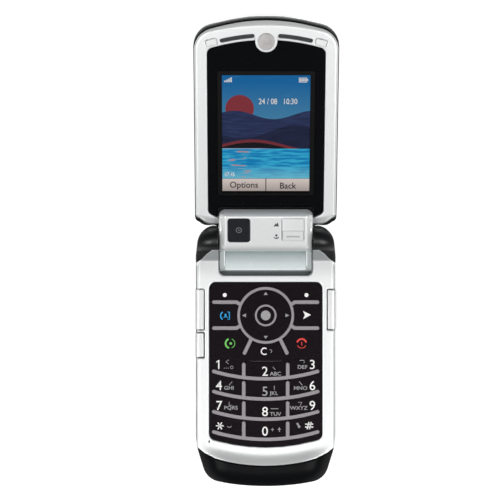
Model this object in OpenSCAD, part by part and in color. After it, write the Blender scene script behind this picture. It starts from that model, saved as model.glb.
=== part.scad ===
// Clamshell mobile phone, shown open and lying on its back.
// Millimetres. The origin is the centre of the flat rest face, +Y points to the flip, +Z up.

/* [Base] */
// Width of the base
base_w = 53; // [50:0.5:58]
// Length of the base
base_l = 99; // [96:0.5:104]
// Height of the keypad face above the rest face
base_t = 11.6; // [11:0.1:14]
// Height of the seam between front and rear housing
seam_z = 5.6; // [5.4:0.1:5.8]
// Thickness of the housings' side walls
wall = 1.3; // [1:0.1:1.6]
// Thickness of the front plates of both halves
plate = 1; // [0.8:0.1:1.2]
// Radius of the long bottom edges
bottom_r = 3.5; // [1.5:0.1:4]
// Radius of the long top edges
top_r = 1.6; // [0.5:0.1:2.4]
// How far the black end cap rises above the keypad face
chin_rise = 1.8; // [0.5:0.1:2.5]
// Radius of the bowed lines: end cap, keypad end, key rows and earpiece slots
bow_r = 70; // [55:1:90]

/* [Hinge] */
// Distance of the hinge axis from the middle of the base
hinge_y = 44.3; // [43.8:0.1:46]
// Height of the hinge axis
hinge_z = 12; // [11.8:0.1:13]
// Radius of the ears round the hinge axis
ear_r = 5; // [4.6:0.1:5.4]
// Radius of the flip's barrel
barrel_r = 5; // [4.6:0.1:5.2]
// Width of the camera block between the ears
block_w = 35.2; // [34:0.1:36]
// Length of the camera block from the axis
block_l = 11.6; // [11:0.1:12]
// Height of the camera block's face above the axis
block_h = 4.6; // [4.2:0.1:4.8]
// Height of the pocket's floor for the camera block
pocket_z = 6.4; // [6.2:0.1:6.6]
// Radius of the hinge pins in the ears
pin_r = 1.9; // [1.5:0.1:2.2]
// Radius of the hinge cartridge and bush in the barrel
cartridge_r = 2.4; // [2:0.1:2.6]
// How far the hinge pins reach into the ears
pin_l = 3; // [2:0.1:4]
// How far the open flip rises out of the base's plane, in degrees
open_rise = 20; // [10:1:30]

/* [Flip] */
// Width of the flip
flip_w = 53.3; // [52:0.1:58]
// Length of the flip from the hinge axis
flip_l = 84.4; // [83:0.1:88]
// Thickness of the flip
flip_t = 7.8; // [7.4:0.1:9]
// Depth of the flip's inner face below the hinge axis
flip_drop = 0.2; // [0.1:0.05:0.3]
// Depth of the seam between the flip's two shells
flip_seam = 3.2; // [3:0.1:3.6]
// Width of the display window
window_w = 43.4; // [42:0.1:44]
// Width of the main display's picture
picture_w = 32.5; // [30:0.1:34]
// Length of the main display's picture
picture_l = 45.4; // [43:0.1:46]
// Distance of the picture's middle from the hinge axis
picture_u = 40.9; // [40.5:0.1:42]
// Distance of the round disc from the hinge axis
disc_u = 75.7; // [75:0.1:76.5]
// Radius of the round disc
disc_r = 3.05; // [2.5:0.05:3.2]
// Width of the outside display's window
outside_w = 32; // [26:1:36]
// Length of the outside display's window
outside_l = 30; // [24:1:34]
// Distance of the outside display's middle from the flip's free end
outside_back = 36.4; // [34:0.1:38]

/* [Cameras] */
// Width of the video camera's window
video_w = 8.2; // [7:0.1:8.6]
// Length of the video camera's window
video_l = 9.2; // [8:0.1:9.4]
// Radius of the main camera's window
lens_r = 3.4; // [3:0.1:3.6]
// Distance of the main camera from the hinge axis
lens_u = 9.2; // [9:0.1:9.6]
// Width of the close-up switch
macro_w = 7.9; // [6:0.1:8]
// Length of the close-up switch
macro_l = 3.9; // [3:0.1:4.2]
// Travel of the close-up switch
macro_travel = 4.8; // [3:0.1:4.8]

/* [Keypad] */
// Width of the keypad
pad_w = 42.8; // [42:0.1:44]
// Far edge of the keypad
pad_top = 27.75; // [27.5:0.05:28]
// Near edge of the keypad, in its middle
pad_end = -34.75; // [-35:0.05:-34.5]
// Thickness of the ribs between the keys
rib = 1.3; // [1:0.05:1.5]
// Clearance round each key
key_gap = 0.12; // [0.08:0.01:0.2]
// Thickness of the key tops
key_t = 1.4; // [1.2:0.05:1.5]
// Depth of the key tops below the keypad face
key_drop = 0.3; // [0.2:0.05:0.4]
// Travel of a key
key_travel = 0.25; // [0.15:0.01:0.28]
// Place of the navigation ring along the keypad
nav_y = 15.1; // [14.9:0.1:15.3]
// Outer radius of the navigation ring's rib
nav_r = 10.7; // [10.4:0.1:10.9]
// Radius of the select key
select_r = 3.3; // [2.8:0.1:3.4]
// Distance of the column ribs from the middle
column_x = 8.3; // [8:0.1:8.8]
// Place of the line between the call keys and the first digit row
row_y = -2.55; // [-2.8:0.05:-2.3]
// Height of the first digit row
row_first = 6.3; // [6.2:0.05:6.4]
// Height of the other digit rows
row_pitch = 7.62; // [7.4:0.02:7.7]

/* [Side keys] */
// How far the side keys stand out
side_out = 0.3; // [0.2:0.05:0.5]
// Distance of the side keys' inner edge from the middle
side_in = 23.4; // [23.3:0.1:24]
// Clearance round the side keys
side_gap = 0.35; // [0.32:0.01:0.5]
// Length of the long side keys
long_l = 15; // [12:0.5:15.5]
// Middle of the long side keys
long_y = 17.3; // [17:0.1:17.6]
// Length of the short side key
short_l = 9.2; // [7:0.1:9.4]
// Middle of the short side key
short_y = 3.9; // [3.6:0.1:4]

/* [Inside] */
// Thickness of the battery
battery_t = 4.2; // [3:0.1:4.2]
// Width of the battery
battery_w = 41.6; // [36:0.1:42]
// Thickness of the battery cover
cover_t = 1; // [0.8:0.1:1.1]
// Thickness of the main board
board_t = 0.8; // [0.6:0.1:1]
// Width of the charging socket
socket_w = 7.7; // [7:0.1:8]
// Height of the charging socket
socket_h = 3.5; // [3.2:0.1:3.5]
// Place of the charging socket along the left side
socket_y = -18; // [-20:0.5:-16]
// Clearance between pieces that are fitted together
fit = 0.1; // [0.05:0.01:0.15]

/* [Hidden] */
$fn = 48;
half_w = base_w / 2;
half_l = base_l / 2;
far = 100;

// Plan of the base
base_end_bow = 98;
base_bow_x = half_w - 11.2;
taper_y = -33.7;
taper_in = 4.2;
ear_in = 1.6;
end_y = hinge_y + ear_r;
ear_x = block_w / 2 + 0.25;
pocket_top = 30;
pocket_r = 2.3;
lip_y = 48.2;
chin_top = base_t + chin_rise;
chin_y = -41.4;
chin_split = -42.3;
cover_y0 = -42;
cover_y1 = 22;
cover_h = 3;
web_t = 0.5;
battery_z = cover_t + fit;
battery_y0 = -34.2;
battery_y1 = 18.8;
web_z = battery_z + battery_t + fit;
shoulder = 2.3;
shoulder_y = 39.8;
shoulder_run = 4.2;

// Heights of the keypad's layers, from the key tops down
key_top = base_t - key_drop;
key_z = key_top - key_t;
mat_top = key_z - key_travel - 0.05;
mat_t = 0.55;
mat_z = mat_top - mat_t;
dome_h = 0.35;
sheet_t = 0.12;
touch = 0.02;
dome_gap = 0.06;
sheet_z = mat_z - dome_gap - dome_h - sheet_t;
board_z = sheet_z - touch - board_t;
rib_z = base_t - 0.15;
board_w = pad_w - 0.4;
board_y0 = -30.4;
board_y1 = 28.2;
smile_x = pad_w / 2 - 1.8;
bar_x = pad_w / 2 - 1.2;
soft_y = 20.1;
call_y = 10.3;
nav_gap = 0.15;
nav_in = nav_r - 0.95;
nav_tilt_room = 0.15;
trim_r = select_r + 0.8;
collar_r = 5.5;
collar_t = 0.45;
pivot_r = 0.2;
rows = [row_y, row_y - row_first, row_y - row_first - row_pitch,
        row_y - row_first - 2 * row_pitch, row_y - row_first - 3 * row_pitch];

// Screws and small parts of the base
screw_r = 0.8;
screw_head_r = 1.6;
screw_head_t = 0.8;
screw_top = 9.5;
boss_r = 1.8;
screw_far = [half_w - 3, pad_top + 0.75];
screw_near = [half_w - 6.5, chin_y + 4.6];
screws = [screw_far, [-screw_far[0], screw_far[1]], screw_near, [-screw_near[0], screw_near[1]]];
screw_seat = 2.9;
cover_boss_r = boss_r + 0.4;
boss_z = cover_t + 0.3;
mic_x = -half_w + 5.2;
mic_y = -32.5;
mic_r = 1.9;
mic_hole_r = 0.35;
mic_top = mat_z - fit;
mic_t = 1.5;
speaker = [13, 9, 2.8];
speaker_pos = [-12, 31, 1.3];
latch = [7.8, 3.8, 1.5];
latch_y = 23.6;
latch_z = 0.3;
latch_travel = 1.2;
socket_l = 6.2;
socket_wall = 0.3;
socket_z = mat_z - dome_gap - socket_h;

// The flip, in its own frame: u along it from the hinge axis, w out of its inner face
u_end_bow = 78;
flip_bow_x = flip_w / 2 - 7.65;
cavity_in = wall + 1;
cavity_u = block_l + 2.2;
inner_w = -flip_drop;
outer_w = -flip_drop - flip_t;
seam_w = -flip_drop - flip_seam;
ear_gap = 0.3;
flip_edge_r = 4;
lens_t = plate + 0.05;
lens_drop = 0.15;
window_top = flip_l - 8.1;
window_leg = 8.15;
slot_x0 = 3.9;
slot_x1 = 16.5;
slot_u = flip_l - 6.4;
slot_t = 1.4;
bumper_x = flip_w / 2 - 6.65;
bumper_u = flip_l - 9;
bumper = [4, 2.2, 0.9];
bumper_out = 0.25;
frame_w = inner_w - lens_drop - lens_t - 0.05;
frame_t = 0.5;
module_w = frame_w - frame_t - 0.05;
module_t = 2.2;
flip_board_w = module_w - module_t - 0.15;
flip_board_t = 0.65;
outside_z = flip_board_w - flip_board_t - 0.1;
outside_u = flip_l - outside_back;
back_w = outer_w + 1;
disc_lift = 0.1;
disc_t = 0.7;
disc_rim = 0.95;

// The camera block's face, in the flip's frame
video_x = -10.1;
video_u = 4.62;
video_camera = 5;
groove_u0 = 0.45;
groove_t = 0.6;
macro_x = 10.2;
macro_u = groove_u0 + 0.1;
macro_t = 0.8;
camera_w = 8;
camera_top = frame_w - 0.1;
camera_t = 4;
lens_barrel_r = 2.5;
lens_travel = 0.3;
lens_window_t = 0.7;
lens_top = camera_top - camera_t - 0.1;
lens_l = lens_top - lens_travel - 0.2 - (outer_w + touch + lens_window_t);

// ---- Outlines ----

function unit(v) = v / norm(v);

// The arc that rounds corner c = [x, y, r] between the corners before and after it
function corner_arc(before, c, after, steps) =
    let (at = [c[0], c[1]],
         u = unit([before[0], before[1]] - at),
         v = unit([after[0], after[1]] - at),
         half = acos(u * v) / 2,
         middle = at + unit(u + v) * c[2] / sin(half),
         first = at + u * c[2] / tan(half) - middle,
         last = at + v * c[2] / tan(half) - middle,
         start = atan2(first[1], first[0]),
         turn = (atan2(last[1], last[0]) - start + 540) % 360 - 180)
    c[2] == 0 ? [at]
              : [for (i = [0:steps]) let (a = start + turn * i / steps)
                    middle + c[2] * [cos(a), sin(a)]];

// A closed outline from corners [x, y, r]
function rounded(corners, steps = 6) =
    let (n = len(corners))
    [for (i = [0:n - 1])
        each corner_arc(corners[(i + n - 1) % n], corners[i], corners[(i + 1) % n], steps)];

// The corner whose rounding gives a bowed end through (0, y), straight beyond half width x
function bow_corner(x, y, r, side) =
    [0, y + side * (r / cos(asin(x / r)) - r), r];

// Where the straight beyond a bow reaches half width x
function bow_y(bow_x, x, y, r, side) =
    bow_corner(bow_x, y, r, side)[1] - side * x * tan(asin(bow_x / r));

function mirrored(corners) =
    concat(corners, [for (i = [len(corners) - 1:-1:0])
                        if (corners[i][0] != 0) [-corners[i][0], corners[i][1], corners[i][2]]]);

// Height at x of a line that bows down to y in the middle
function smile(y, x) = y + bow_r - sqrt(bow_r * bow_r - x * x);

base_outline = rounded(mirrored([
    bow_corner(base_bow_x, -half_l, base_end_bow, -1),
    [half_w - taper_in, bow_y(base_bow_x, half_w - taper_in, -half_l, base_end_bow, -1), 7],
    [half_w, taper_y, 25],
    [half_w, shoulder_y - 2.3, 15],
    [half_w - ear_in, end_y, 7.5]]));

flip_side_u = bow_y(flip_bow_x, flip_w / 2, flip_l, u_end_bow, 1);
flip_outline = rounded(mirrored([
    bow_corner(flip_bow_x, flip_l, u_end_bow, 1),
    [flip_w / 2, flip_side_u, 8],
    [flip_w / 2, 8.4, 3],
    [ear_x - 0.2, 3, 0]]));

pad_bow_x = pad_w / 2 - 3.4;
pad_corner_y = bow_y(pad_bow_x, pad_w / 2, pad_end, bow_r, -1);

function pad_outline(inset) = rounded(mirrored([
    bow_corner(pad_bow_x, pad_end + inset, bow_r, -1),
    [pad_w / 2 - inset, pad_corner_y + inset, 2.5],
    [pad_w / 2 - inset, pad_top - inset, 2.5]]));

window_bow_x = window_w / 2 - 3.7;

function window_outline(inset) = rounded(mirrored([
    bow_corner(window_bow_x, window_top - inset, bow_r, 1),
    [window_w / 2 - inset, bow_y(window_bow_x, window_w / 2, window_top - inset, bow_r, 1), 2.5],
    [window_w / 2 - inset, window_leg + inset, 1],
    [block_w / 2 + 0.3 + inset, window_leg + inset, 0],
    [block_w / 2 + 0.3 + inset, block_l + 0.1 + inset, 0]]));

// ---- Helpers ----

module along_x(x0, x1) {
    translate([x0, 0, 0]) rotate([90, 0, 90]) linear_extrude(x1 - x0) children();
}

module along_y(y0, y1) {
    translate([0, y1, 0]) rotate([90, 0, 0]) linear_extrude(y1 - y0) children();
}

module span(x0, x1, y0, y1, z0, z1) {
    translate([x0, y0, z0]) cube([x1 - x0, y1 - y0, z1 - z0]);
}

module slab(z0, z1) {
    translate([0, 0, z0]) linear_extrude(z1 - z0) children();
}

module both_sides() {
    children();
    mirror([1, 0, 0]) children();
}

// A flat bar with round ends from a to b
module bar(a, b, t) {
    run = b - a;
    translate(a) rotate(atan2(run[1], run[0])) {
        translate([0, -t / 2]) square([norm(run), t]);
        circle(d = t);
        translate([norm(run), 0]) circle(d = t);
    }
}

// A bowed bar with round ends, its middle line through (0, y) and from x0 to x1
module bowed_bar(y, x0, x1, t, side = 1) {
    intersection() {
        translate([0, y + side * bow_r]) difference() {
            circle(bow_r + t / 2, $fn = 180);
            circle(bow_r - t / 2, $fn = 180);
        }
        translate([x0, y - 8]) square([x1 - x0, 16]);
    }
    for (x = [x0, x1])
        translate([x, y + side * (smile(y, x) - y)]) circle(d = t);
}

module in_flip() {
    translate([0, hinge_y, hinge_z]) rotate([open_rise, 0, 0]) children();
}

// A cylinder about the hinge axis
module on_axis(r, x0, x1) {
    translate([x0, 0, 0]) rotate([0, 90, 0]) cylinder(r = r, h = x1 - x0);
}

module at_axis() {
    translate([0, hinge_y, hinge_z]) children();
}

// ---- Envelopes of the base ----

module base_envelope(grow = 0) {
    intersection() {
        slab(0, base_t) offset_plan(grow);
        along_y(-far, far) polygon(rounded(mirrored([
            [half_w + grow, 0, bottom_r], [half_w + grow, base_t, top_r]])));
        along_x(-far, far) polygon(rounded([
            [-half_l, 0, 6], [-half_l, base_t + 6, 0], [lip_y, base_t + 6, 0], [lip_y, 0, 6]]));
    }
}

module offset_plan(grow) {
    if (grow == 0) polygon(base_outline);
    else translate([-half_w - grow, -far / 2]) square([base_w + 2 * grow, far]);
}

module ear_envelope() {
    intersection() {
        slab(0, hinge_z + ear_r) polygon(base_outline);
        along_y(0, far) polygon(rounded(mirrored([
            [half_w, 0, bottom_r], [half_w, hinge_z + ear_r, 4.5]])));
        along_x(-far, far) {
            translate([hinge_y, hinge_z]) circle(ear_r);
            polygon(rounded([[30, 0, 0], [hinge_y + 3, 0, 5], [hinge_y + ear_r - 0.3, hinge_z - 1.5, 0],
                             [hinge_y - ear_r + 0.3, hinge_z - 1.5, 0], [30, hinge_z - 1.5, 0]]));
        }
    }
}

module shoulder_envelope() {
    intersection() {
        slab(seam_z, base_t + shoulder) polygon(base_outline);
        along_y(0, far) polygon(rounded(mirrored([
            [half_w, 0, bottom_r], [half_w, hinge_z + ear_r, 4.5]])));
        along_x(-far, far) polygon([
            [shoulder_y - shoulder_run - 4, seam_z], [shoulder_y + 1, seam_z],
            [shoulder_y + 1, base_t + shoulder * (1 + 1 / shoulder_run)],
            [shoulder_y - shoulder_run, base_t], [shoulder_y - shoulder_run - 4, base_t - 1]]);
    }
}

module chin_envelope() {
    intersection() {
        slab(0, chin_top) polygon(base_outline);
        along_y(-far, 0) polygon(rounded(mirrored([
            [half_w, 0, bottom_r], [half_w, chin_top, 5]])));
        along_x(-far, far) polygon(rounded([
            [-half_l, 0, 6], [chin_y + 12, 0, 0], [chin_y + 12, base_t, 0],
            [chin_y + 1.6, base_t, 1], [chin_y - 0.2, chin_top, 0.8], [-half_l, chin_top - 0.6, 6]]));
    }
}

// Plan of the black end cap
module chin_plan() {
    bow_x = half_w - 7.6;
    side = [[half_w - 3.4, chin_y + 4.6], [half_w - 0.3, chin_y + 7], [half_w + 3.5, chin_y + 9.9],
            [half_w + 3.5, -half_l - 10]];
    polygon(concat([for (i = [-6:6]) let (x = bow_x * i / 6) [x, smile(chin_y, x)]], side,
                   [for (i = [3:-1:0]) [-side[i][0], side[i][1]]]));
}

// Plan of the black ears
module ear_plan() {
    both_sides() polygon([
        [ear_x, shoulder_y], [half_w - 6.3, shoulder_y], [half_w - 4.4, shoulder_y - 1.3],
        [half_w - 1.9, shoulder_y - 3.8], [half_w + 3.5, shoulder_y - 6.5],
        [half_w + 3.5, end_y + 10], [ear_x, end_y + 10]]);
}

module screw_places() {
    for (at = screws) translate([at[0], at[1], 0]) children();
}

// ---- Base ----

module front_housing() {
    color("gainsboro") difference() {
        union() {
            difference() {
                intersection() {
                    base_envelope();
                    span(-far, far, -far, hinge_y - 1.8, seam_z, far);
                }
                front_cavity();
            }
            both_sides() intersection() {
                shoulder_envelope();
                span(ear_x, far, 0, far, seam_z, far);
            }
            intersection() {
                chin_envelope();
                span(-far, far, chin_y - 1, chin_y + 6, base_t - plate, far);
            }
            intersection() {
                screw_places() cylinder(r = boss_r, h = base_t - plate / 2);
                base_envelope();
                span(-far, far, -far, far, web_z + web_t + fit, far);
            }
        }
        slab(seam_z - 1, far) ear_plan();
        slab(seam_z - 1, far) chin_plan();
        slab(mat_z - 1, far) polygon(pad_outline(0));
        hinge_pocket();
        side_notches();
        socket_cut();
        screw_places() cylinder(r = screw_r + fit / 2, h = screw_top + 0.2);
        translate([mic_x, mic_y, 0]) cylinder(r = mic_hole_r, h = far);
    }
}

module front_cavity() {
    slab(0, base_t - plate) polygon(rounded(mirrored([
        [half_w - wall - 1.4, -36.4, 1], [half_w - wall, taper_y + 2, 4], [half_w - wall, 29, 1]])));
}

// The pocket that takes the camera block when the flip is shut
module hinge_pocket() {
    slope = 2.2;
    intersection() {
        along_y(pocket_top, far) polygon([
            [-ear_x, base_t + 9], [-ear_x, base_t - 2.4], [-ear_x + 2.4, pocket_z],
            [ear_x - 2.4, pocket_z], [ear_x, base_t - 2.4], [ear_x, base_t + 9]]);
        along_x(-far, far) polygon([
            [pocket_top, base_t + 9], [pocket_top, base_t], [pocket_top + slope, pocket_z],
            [far, pocket_z], [far, base_t + 9]]);
        slab(0, far) polygon(rounded([
            [-ear_x, pocket_top, pocket_r], [ear_x, pocket_top, pocket_r],
            [ear_x, far, 0], [-ear_x, far, 0]]));
    }
    at_axis() on_axis(barrel_r + 0.75, -ear_x, ear_x);
}

module side_notches() {
    for (at = [[-1, long_y, long_l], [-1, short_y, short_l], [1, long_y, long_l]])
        span(at[0] > 0 ? side_in - side_gap : -far, at[0] > 0 ? far : -side_in + side_gap,
             at[1] - at[2] / 2 - side_gap, at[1] + at[2] / 2 + side_gap,
             seam_z + 1, far);
}

module socket_cut() {
    span(-far, -half_w + socket_l + 1, socket_y - socket_w / 2 - fit,
         socket_y + socket_w / 2 + fit, socket_z - fit, socket_z + socket_h + fit);
}

module rear_housing() {
    color("#17191a") difference() {
        union() {
            intersection() {
                base_envelope();
                span(-far, far, chin_split, far, 0, seam_z);
            }
            intersection() {
                base_envelope();
                span(-ear_x, ear_x, hinge_y - 1.8, far, 0, hinge_z - 5);
            }
            slab(web_z, web_z + web_t) polygon(rounded(mirrored([
                [half_w - wall - 1.6, -36.1, 1], [half_w - wall - fit, taper_y + 2.2, 4],
                [half_w - wall - fit, 28.8, 1]])));
            both_sides() intersection() {
                ear_envelope();
                slab(0, far) ear_plan();
            }
            screw_places() translate([0, 0, boss_z]) cylinder(r = cover_boss_r, h = seam_z - boss_z);
        }
        difference() {
            span(-far, far, cover_y0 - fit, cover_y1 + fit, -1, cover_h + fit);
            screw_places() translate([0, 0, boss_z]) cylinder(r = cover_boss_r, h = far);
        }
        span(-battery_w / 2 - fit, battery_w / 2 + fit, battery_y0 - fit, battery_y1 + fit,
             -1, web_z);
        translate([speaker_pos[0] - speaker[0] / 2 - fit, speaker_pos[1] - speaker[1] / 2 - fit,
                   speaker_pos[2] - fit])
            cube([speaker[0] + 2 * fit, speaker[1] + 2 * fit, web_z - speaker_pos[2]]);
        for (i = [-1:1])
            translate([speaker_pos[0] - 4, speaker_pos[1] + 2 * i - 0.4, -1]) cube([8, 0.8, 3]);
        span(-latch[0] / 2 - fit, latch[0] / 2 + fit, latch_y - fit,
             latch_y + latch[1] + latch_travel + fit, -1, latch_z + latch[2] + fit);
        socket_cut();
        at_axis() on_axis(barrel_r + 0.75, -ear_x, ear_x);
        at_axis() both_sides() on_axis(pin_r + 0.05, ear_x - 1, ear_x + pin_l + 0.2);
        screw_places() {
            cylinder(r = screw_r + fit, h = far);
            translate([0, 0, -1]) cylinder(r = screw_head_r + fit, h = screw_seat + 1);
        }
    }
}

module chin_cover() {
    color("#1b1d1e") difference() {
        intersection() {
            chin_envelope();
            union() {
                slab(seam_z + fit, far) chin_plan();
                span(-far, far, -far, chin_split - fit, -1, far);
            }
        }
        span(-half_w + 5.5, half_w - 5.5, -half_l + 2.5, chin_y + 5, seam_z - 1,
             base_t - plate - 0.5);
        antenna_bay(fit);
        screw_places() cylinder(r = boss_r + fit, h = base_t);
    }
}

module antenna_bay(gap) {
    x = half_w - 12.5 + gap;
    span(-x, x, -half_l + 2.7 - gap, chin_split - 0.4, seam_z - 3.6 - gap, seam_z + 3.4 + gap);
}

module antenna() {
    color("#c8b27a") antenna_bay(0);
}

module battery() {
    color("#3a3f45")
        span(-battery_w / 2, battery_w / 2, battery_y0, battery_y1, battery_z, battery_z + battery_t);
}

module main_board() {
    color("#1d5b3a") difference() {
        span(-board_w / 2, board_w / 2, board_y0, board_y1, board_z, board_z + board_t);
        socket_cut();
        screw_places() cylinder(r = boss_r + 0.2, h = far);
    }
}

module shield_cans() {
    low = web_z + web_t + fit;
    high = board_z - touch;
    color("silver") {
        span(-board_w / 2 + 5.2, -1, board_y0 + 21.4, board_y1 - 8.2, low, high);
        span(1.5, board_w / 2 - 2.2, board_y0 + 3.4, board_y1 - 16.2, low, high);
    }
}

module dome(x, y) {
    r = (1.9 * 1.9 + dome_h * dome_h) / (2 * dome_h);
    translate([x, y, sheet_z + sheet_t]) intersection() {
        translate([0, 0, dome_h - r]) sphere(r, $fn = 64);
        translate([0, 0, -sheet_t / 2]) cylinder(r = 1.9, h = 2);
    }
}

module dome_sheet() {
    column = 14;
    color("#c9c39a") difference() {
        union() {
            span(-board_w / 2, board_w / 2, board_y0, board_y1 - 1, sheet_z, sheet_z + sheet_t);
            for (x = [-column, 0, column], i = [0:3])
                dome(x, rows[i] - (i == 0 ? row_first : row_pitch) / 2 + smile(0, x));
            for (x = [-column, column], y = [24, 15.2, 4.6]) dome(x, y);
            for (a = [0:90:270]) dome(7 * cos(a), nav_y + 7 * sin(a));
            dome(0, nav_y);
            dome(0, 1.4);
        }
        socket_cut();
    }
}

module charging_socket() {
    color("lightgray") difference() {
        span(-half_w + 0.3, -half_w + socket_l, socket_y - socket_w / 2, socket_y + socket_w / 2,
             socket_z, socket_z + socket_h);
        span(-half_w, -half_w + socket_l - 0.6, socket_y - socket_w / 2 + socket_wall,
             socket_y + socket_w / 2 - socket_wall, socket_z + socket_wall,
             socket_z + socket_h / 2 - 0.4);
        span(-half_w, -half_w + socket_l - 0.6, socket_y - socket_w / 2 + socket_wall,
             socket_y + socket_w / 2 - socket_wall, socket_z + socket_h / 2 + 0.4,
             socket_z + socket_h - socket_wall);
        span(-half_w, -half_w + 1.6, socket_y - socket_w / 2 + socket_wall,
             socket_y + socket_w / 2 - socket_wall, socket_z + socket_wall,
             socket_z + socket_h - socket_wall);
    }
}

module microphone() {
    color("#8f9296") translate([mic_x, mic_y, mic_top - mic_t]) cylinder(r = mic_r, h = mic_t);
}

module loudspeaker() {
    color("#2a2a2c") translate([speaker_pos[0] - speaker[0] / 2, speaker_pos[1] - speaker[1] / 2,
                                speaker_pos[2]]) cube(speaker);
}

module base_screws() {
    color("#9aa0a4") screw_places() {
        translate([0, 0, screw_seat]) cylinder(r = screw_r, h = screw_top - screw_seat);
        difference() {
            translate([0, 0, screw_seat - screw_head_t])
                cylinder(r = screw_head_r, h = screw_head_t);
            translate([0, 0, screw_seat - screw_head_t - 0.1])
                cylinder(r = 0.6, h = 0.5, $fn = 6);
        }
    }
}

module battery_cover() {
    color("#1a1b1d") difference() {
        intersection() {
            base_envelope();
            span(-far, far, cover_y0, cover_y1, 0, cover_h);
        }
        span(-half_w + 1.9, half_w - 1.9, cover_y0 + 1, cover_y1 - 1, cover_t, far);
    }
}

module cover_latch() {
    color("#2b2d30")
        span(-latch[0] / 2, latch[0] / 2, latch_y, latch_y + latch[1], latch_z,
             latch_z + latch[2]);
}

// ---- Keypad ----

// The ribs' plan; extra widens them for the gap round the keys
module ribs(extra = 0) {
    t = rib + 2 * extra;
    translate([0, nav_y]) difference() {
        circle(nav_r + extra, $fn = 96);
        circle(nav_in - extra, $fn = 96);
    }
    both_sides() {
        for (at = [[soft_y, -1], [call_y, 1]]) {
            bar([11, at[0]], [bar_x - rib / 2, at[0]], t);
            bar([11, at[0]], [9.6, at[0] + at[1] * 0.9], t);
        }
        bar([5.6, nav_y - 9.2], [column_x - 0.3, 0.9], t);
        for (i = [1:4]) {
            over = i == 1 ? row_y : rows[i - 1] - rib / 2;
            bar([column_x, smile(over, column_x) - 1.4], [column_x, smile(rows[i], column_x)], t);
        }
    }
    for (i = [1:4]) bowed_bar(rows[i], -smile_x, smile_x, t);
}

module keymat() {
    color("#9c979b") {
        slab(mat_z, mat_top) polygon(pad_outline(0.15));
        slab(mat_top, rib_z) ribs();
    }
}

// The band between two bowed lines, from x0 to x1
module band(y0, y1, x0, x1) {
    steps = 8;
    polygon(concat(
        [for (i = [0:steps]) let (x = x0 + (x1 - x0) * i / steps) [x, smile(y0, x)]],
        [for (i = [steps:-1:0]) let (x = x0 + (x1 - x0) * i / steps) [x, smile(y1, x)]]));
}

// A key: its cell within the keypad, less the ribs and the navigation cluster
module key_top_on() {
    color("#1e181c") slab(key_z, key_top) difference() {
        intersection() {
            polygon(pad_outline(key_gap));
            children();
        }
        ribs(key_gap);
        translate([0, nav_y]) circle(nav_r - 0.5);
    }
}

module digit_key(row, column) {
    side = pad_w / 2;
    x0 = [-side, -column_x, column_x][column] + key_gap / 2;
    x1 = [-column_x, column_x, side][column] - key_gap / 2;
    key_top_on() band(rows[row + 1] + key_gap / 2, rows[row] - key_gap / 2, x0, x1);
}

// The strip below the last rib belongs to the outer keys of the last row
module last_row_key(side) {
    key_top_on() mirror([side < 0 ? 1 : 0, 0]) {
        band(rows[4], rows[3] - key_gap / 2, column_x + key_gap / 2, pad_w / 2);
        band(rows[4] - row_pitch, rows[4] + 0.01, key_gap / 2, pad_w / 2);
    }
}

module upper_cell(y0, y1, side) {
    mirror([side < 0 ? 1 : 0, 0]) translate([key_gap / 2, y0 + key_gap / 2])
        square([pad_w / 2, y1 - y0 - key_gap]);
}

module call_cell(side) {
    mirror([side < 0 ? 1 : 0, 0]) difference() {
        band(row_y + key_gap / 2, call_y + 5, 5, pad_w / 2);
        translate([0, call_y - key_gap / 2]) square(far);
        clear_plan(key_gap / 2);
    }
}

// The clear key's plan, between the slanting ribs
module clear_plan(extra) {
    polygon([[-5.6 - extra, nav_y - 9.2], [5.6 + extra, nav_y - 9.2],
             [column_x - 0.3 + extra, 0.9], [column_x + extra, row_y - 2],
             [-column_x - extra, row_y - 2], [-column_x + 0.3 - extra, 0.9]]);
}

module soft_key_left() { key_top_on() upper_cell(soft_y, pad_top, -1); }
module soft_key_right() { key_top_on() upper_cell(soft_y, pad_top, 1); }
module message_key() { key_top_on() upper_cell(call_y, soft_y, -1); }
module browser_key() { key_top_on() upper_cell(call_y, soft_y, 1); }
module send_key() { key_top_on() call_cell(-1); }
module end_key() { key_top_on() call_cell(1); }

module clear_key() {
    key_top_on() intersection() {
        clear_plan(-key_gap / 2);
        band(row_y + key_gap / 2, call_y, -column_x, column_x);
    }
}

module key_1() { digit_key(0, 0); }
module key_2() { digit_key(0, 1); }
module key_3() { digit_key(0, 2); }
module key_4() { digit_key(1, 0); }
module key_5() { digit_key(1, 1); }
module key_6() { digit_key(1, 2); }
module key_7() { digit_key(2, 0); }
module key_8() { digit_key(2, 1); }
module key_9() { digit_key(2, 2); }
module key_star() { last_row_key(-1); }
module key_0() { digit_key(3, 1); }
module key_hash() { last_row_key(1); }

// The collar that carries the ring, with a pivot stub on each of its two axes' ends
module nav_collar() {
    color("#39343a") translate([0, nav_y, key_z + 0.05]) {
        difference() {
            cylinder(r = collar_r, h = collar_t);
            translate([0, 0, -1]) cylinder(r = select_r + 0.3, h = 3);
        }
        for (a = [0:90:270])
            translate([0, 0, collar_t - pivot_r]) rotate(a)
                on_axis(pivot_r, collar_r - 0.3, collar_r + 0.25);
    }
}

module nav_ring() {
    low = key_z + nav_tilt_room;
    color("#1e181c") translate([0, nav_y, 0]) difference() {
        union() {
            translate([0, 0, low]) cylinder(r = nav_in - nav_gap, h = key_top - low);
            translate([0, 0, low]) cylinder(r = trim_r, h = rib_z - low);
        }
        cylinder(r = select_r + nav_gap, h = far);
        cylinder(r = collar_r + 0.3, h = key_z + 0.05 + collar_t + 0.3);
    }
}

module select_key() {
    color("#141114") translate([0, nav_y, key_z])
        cylinder(r = select_r, h = rib_z - key_z);
}

// ---- Side keys ----

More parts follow.
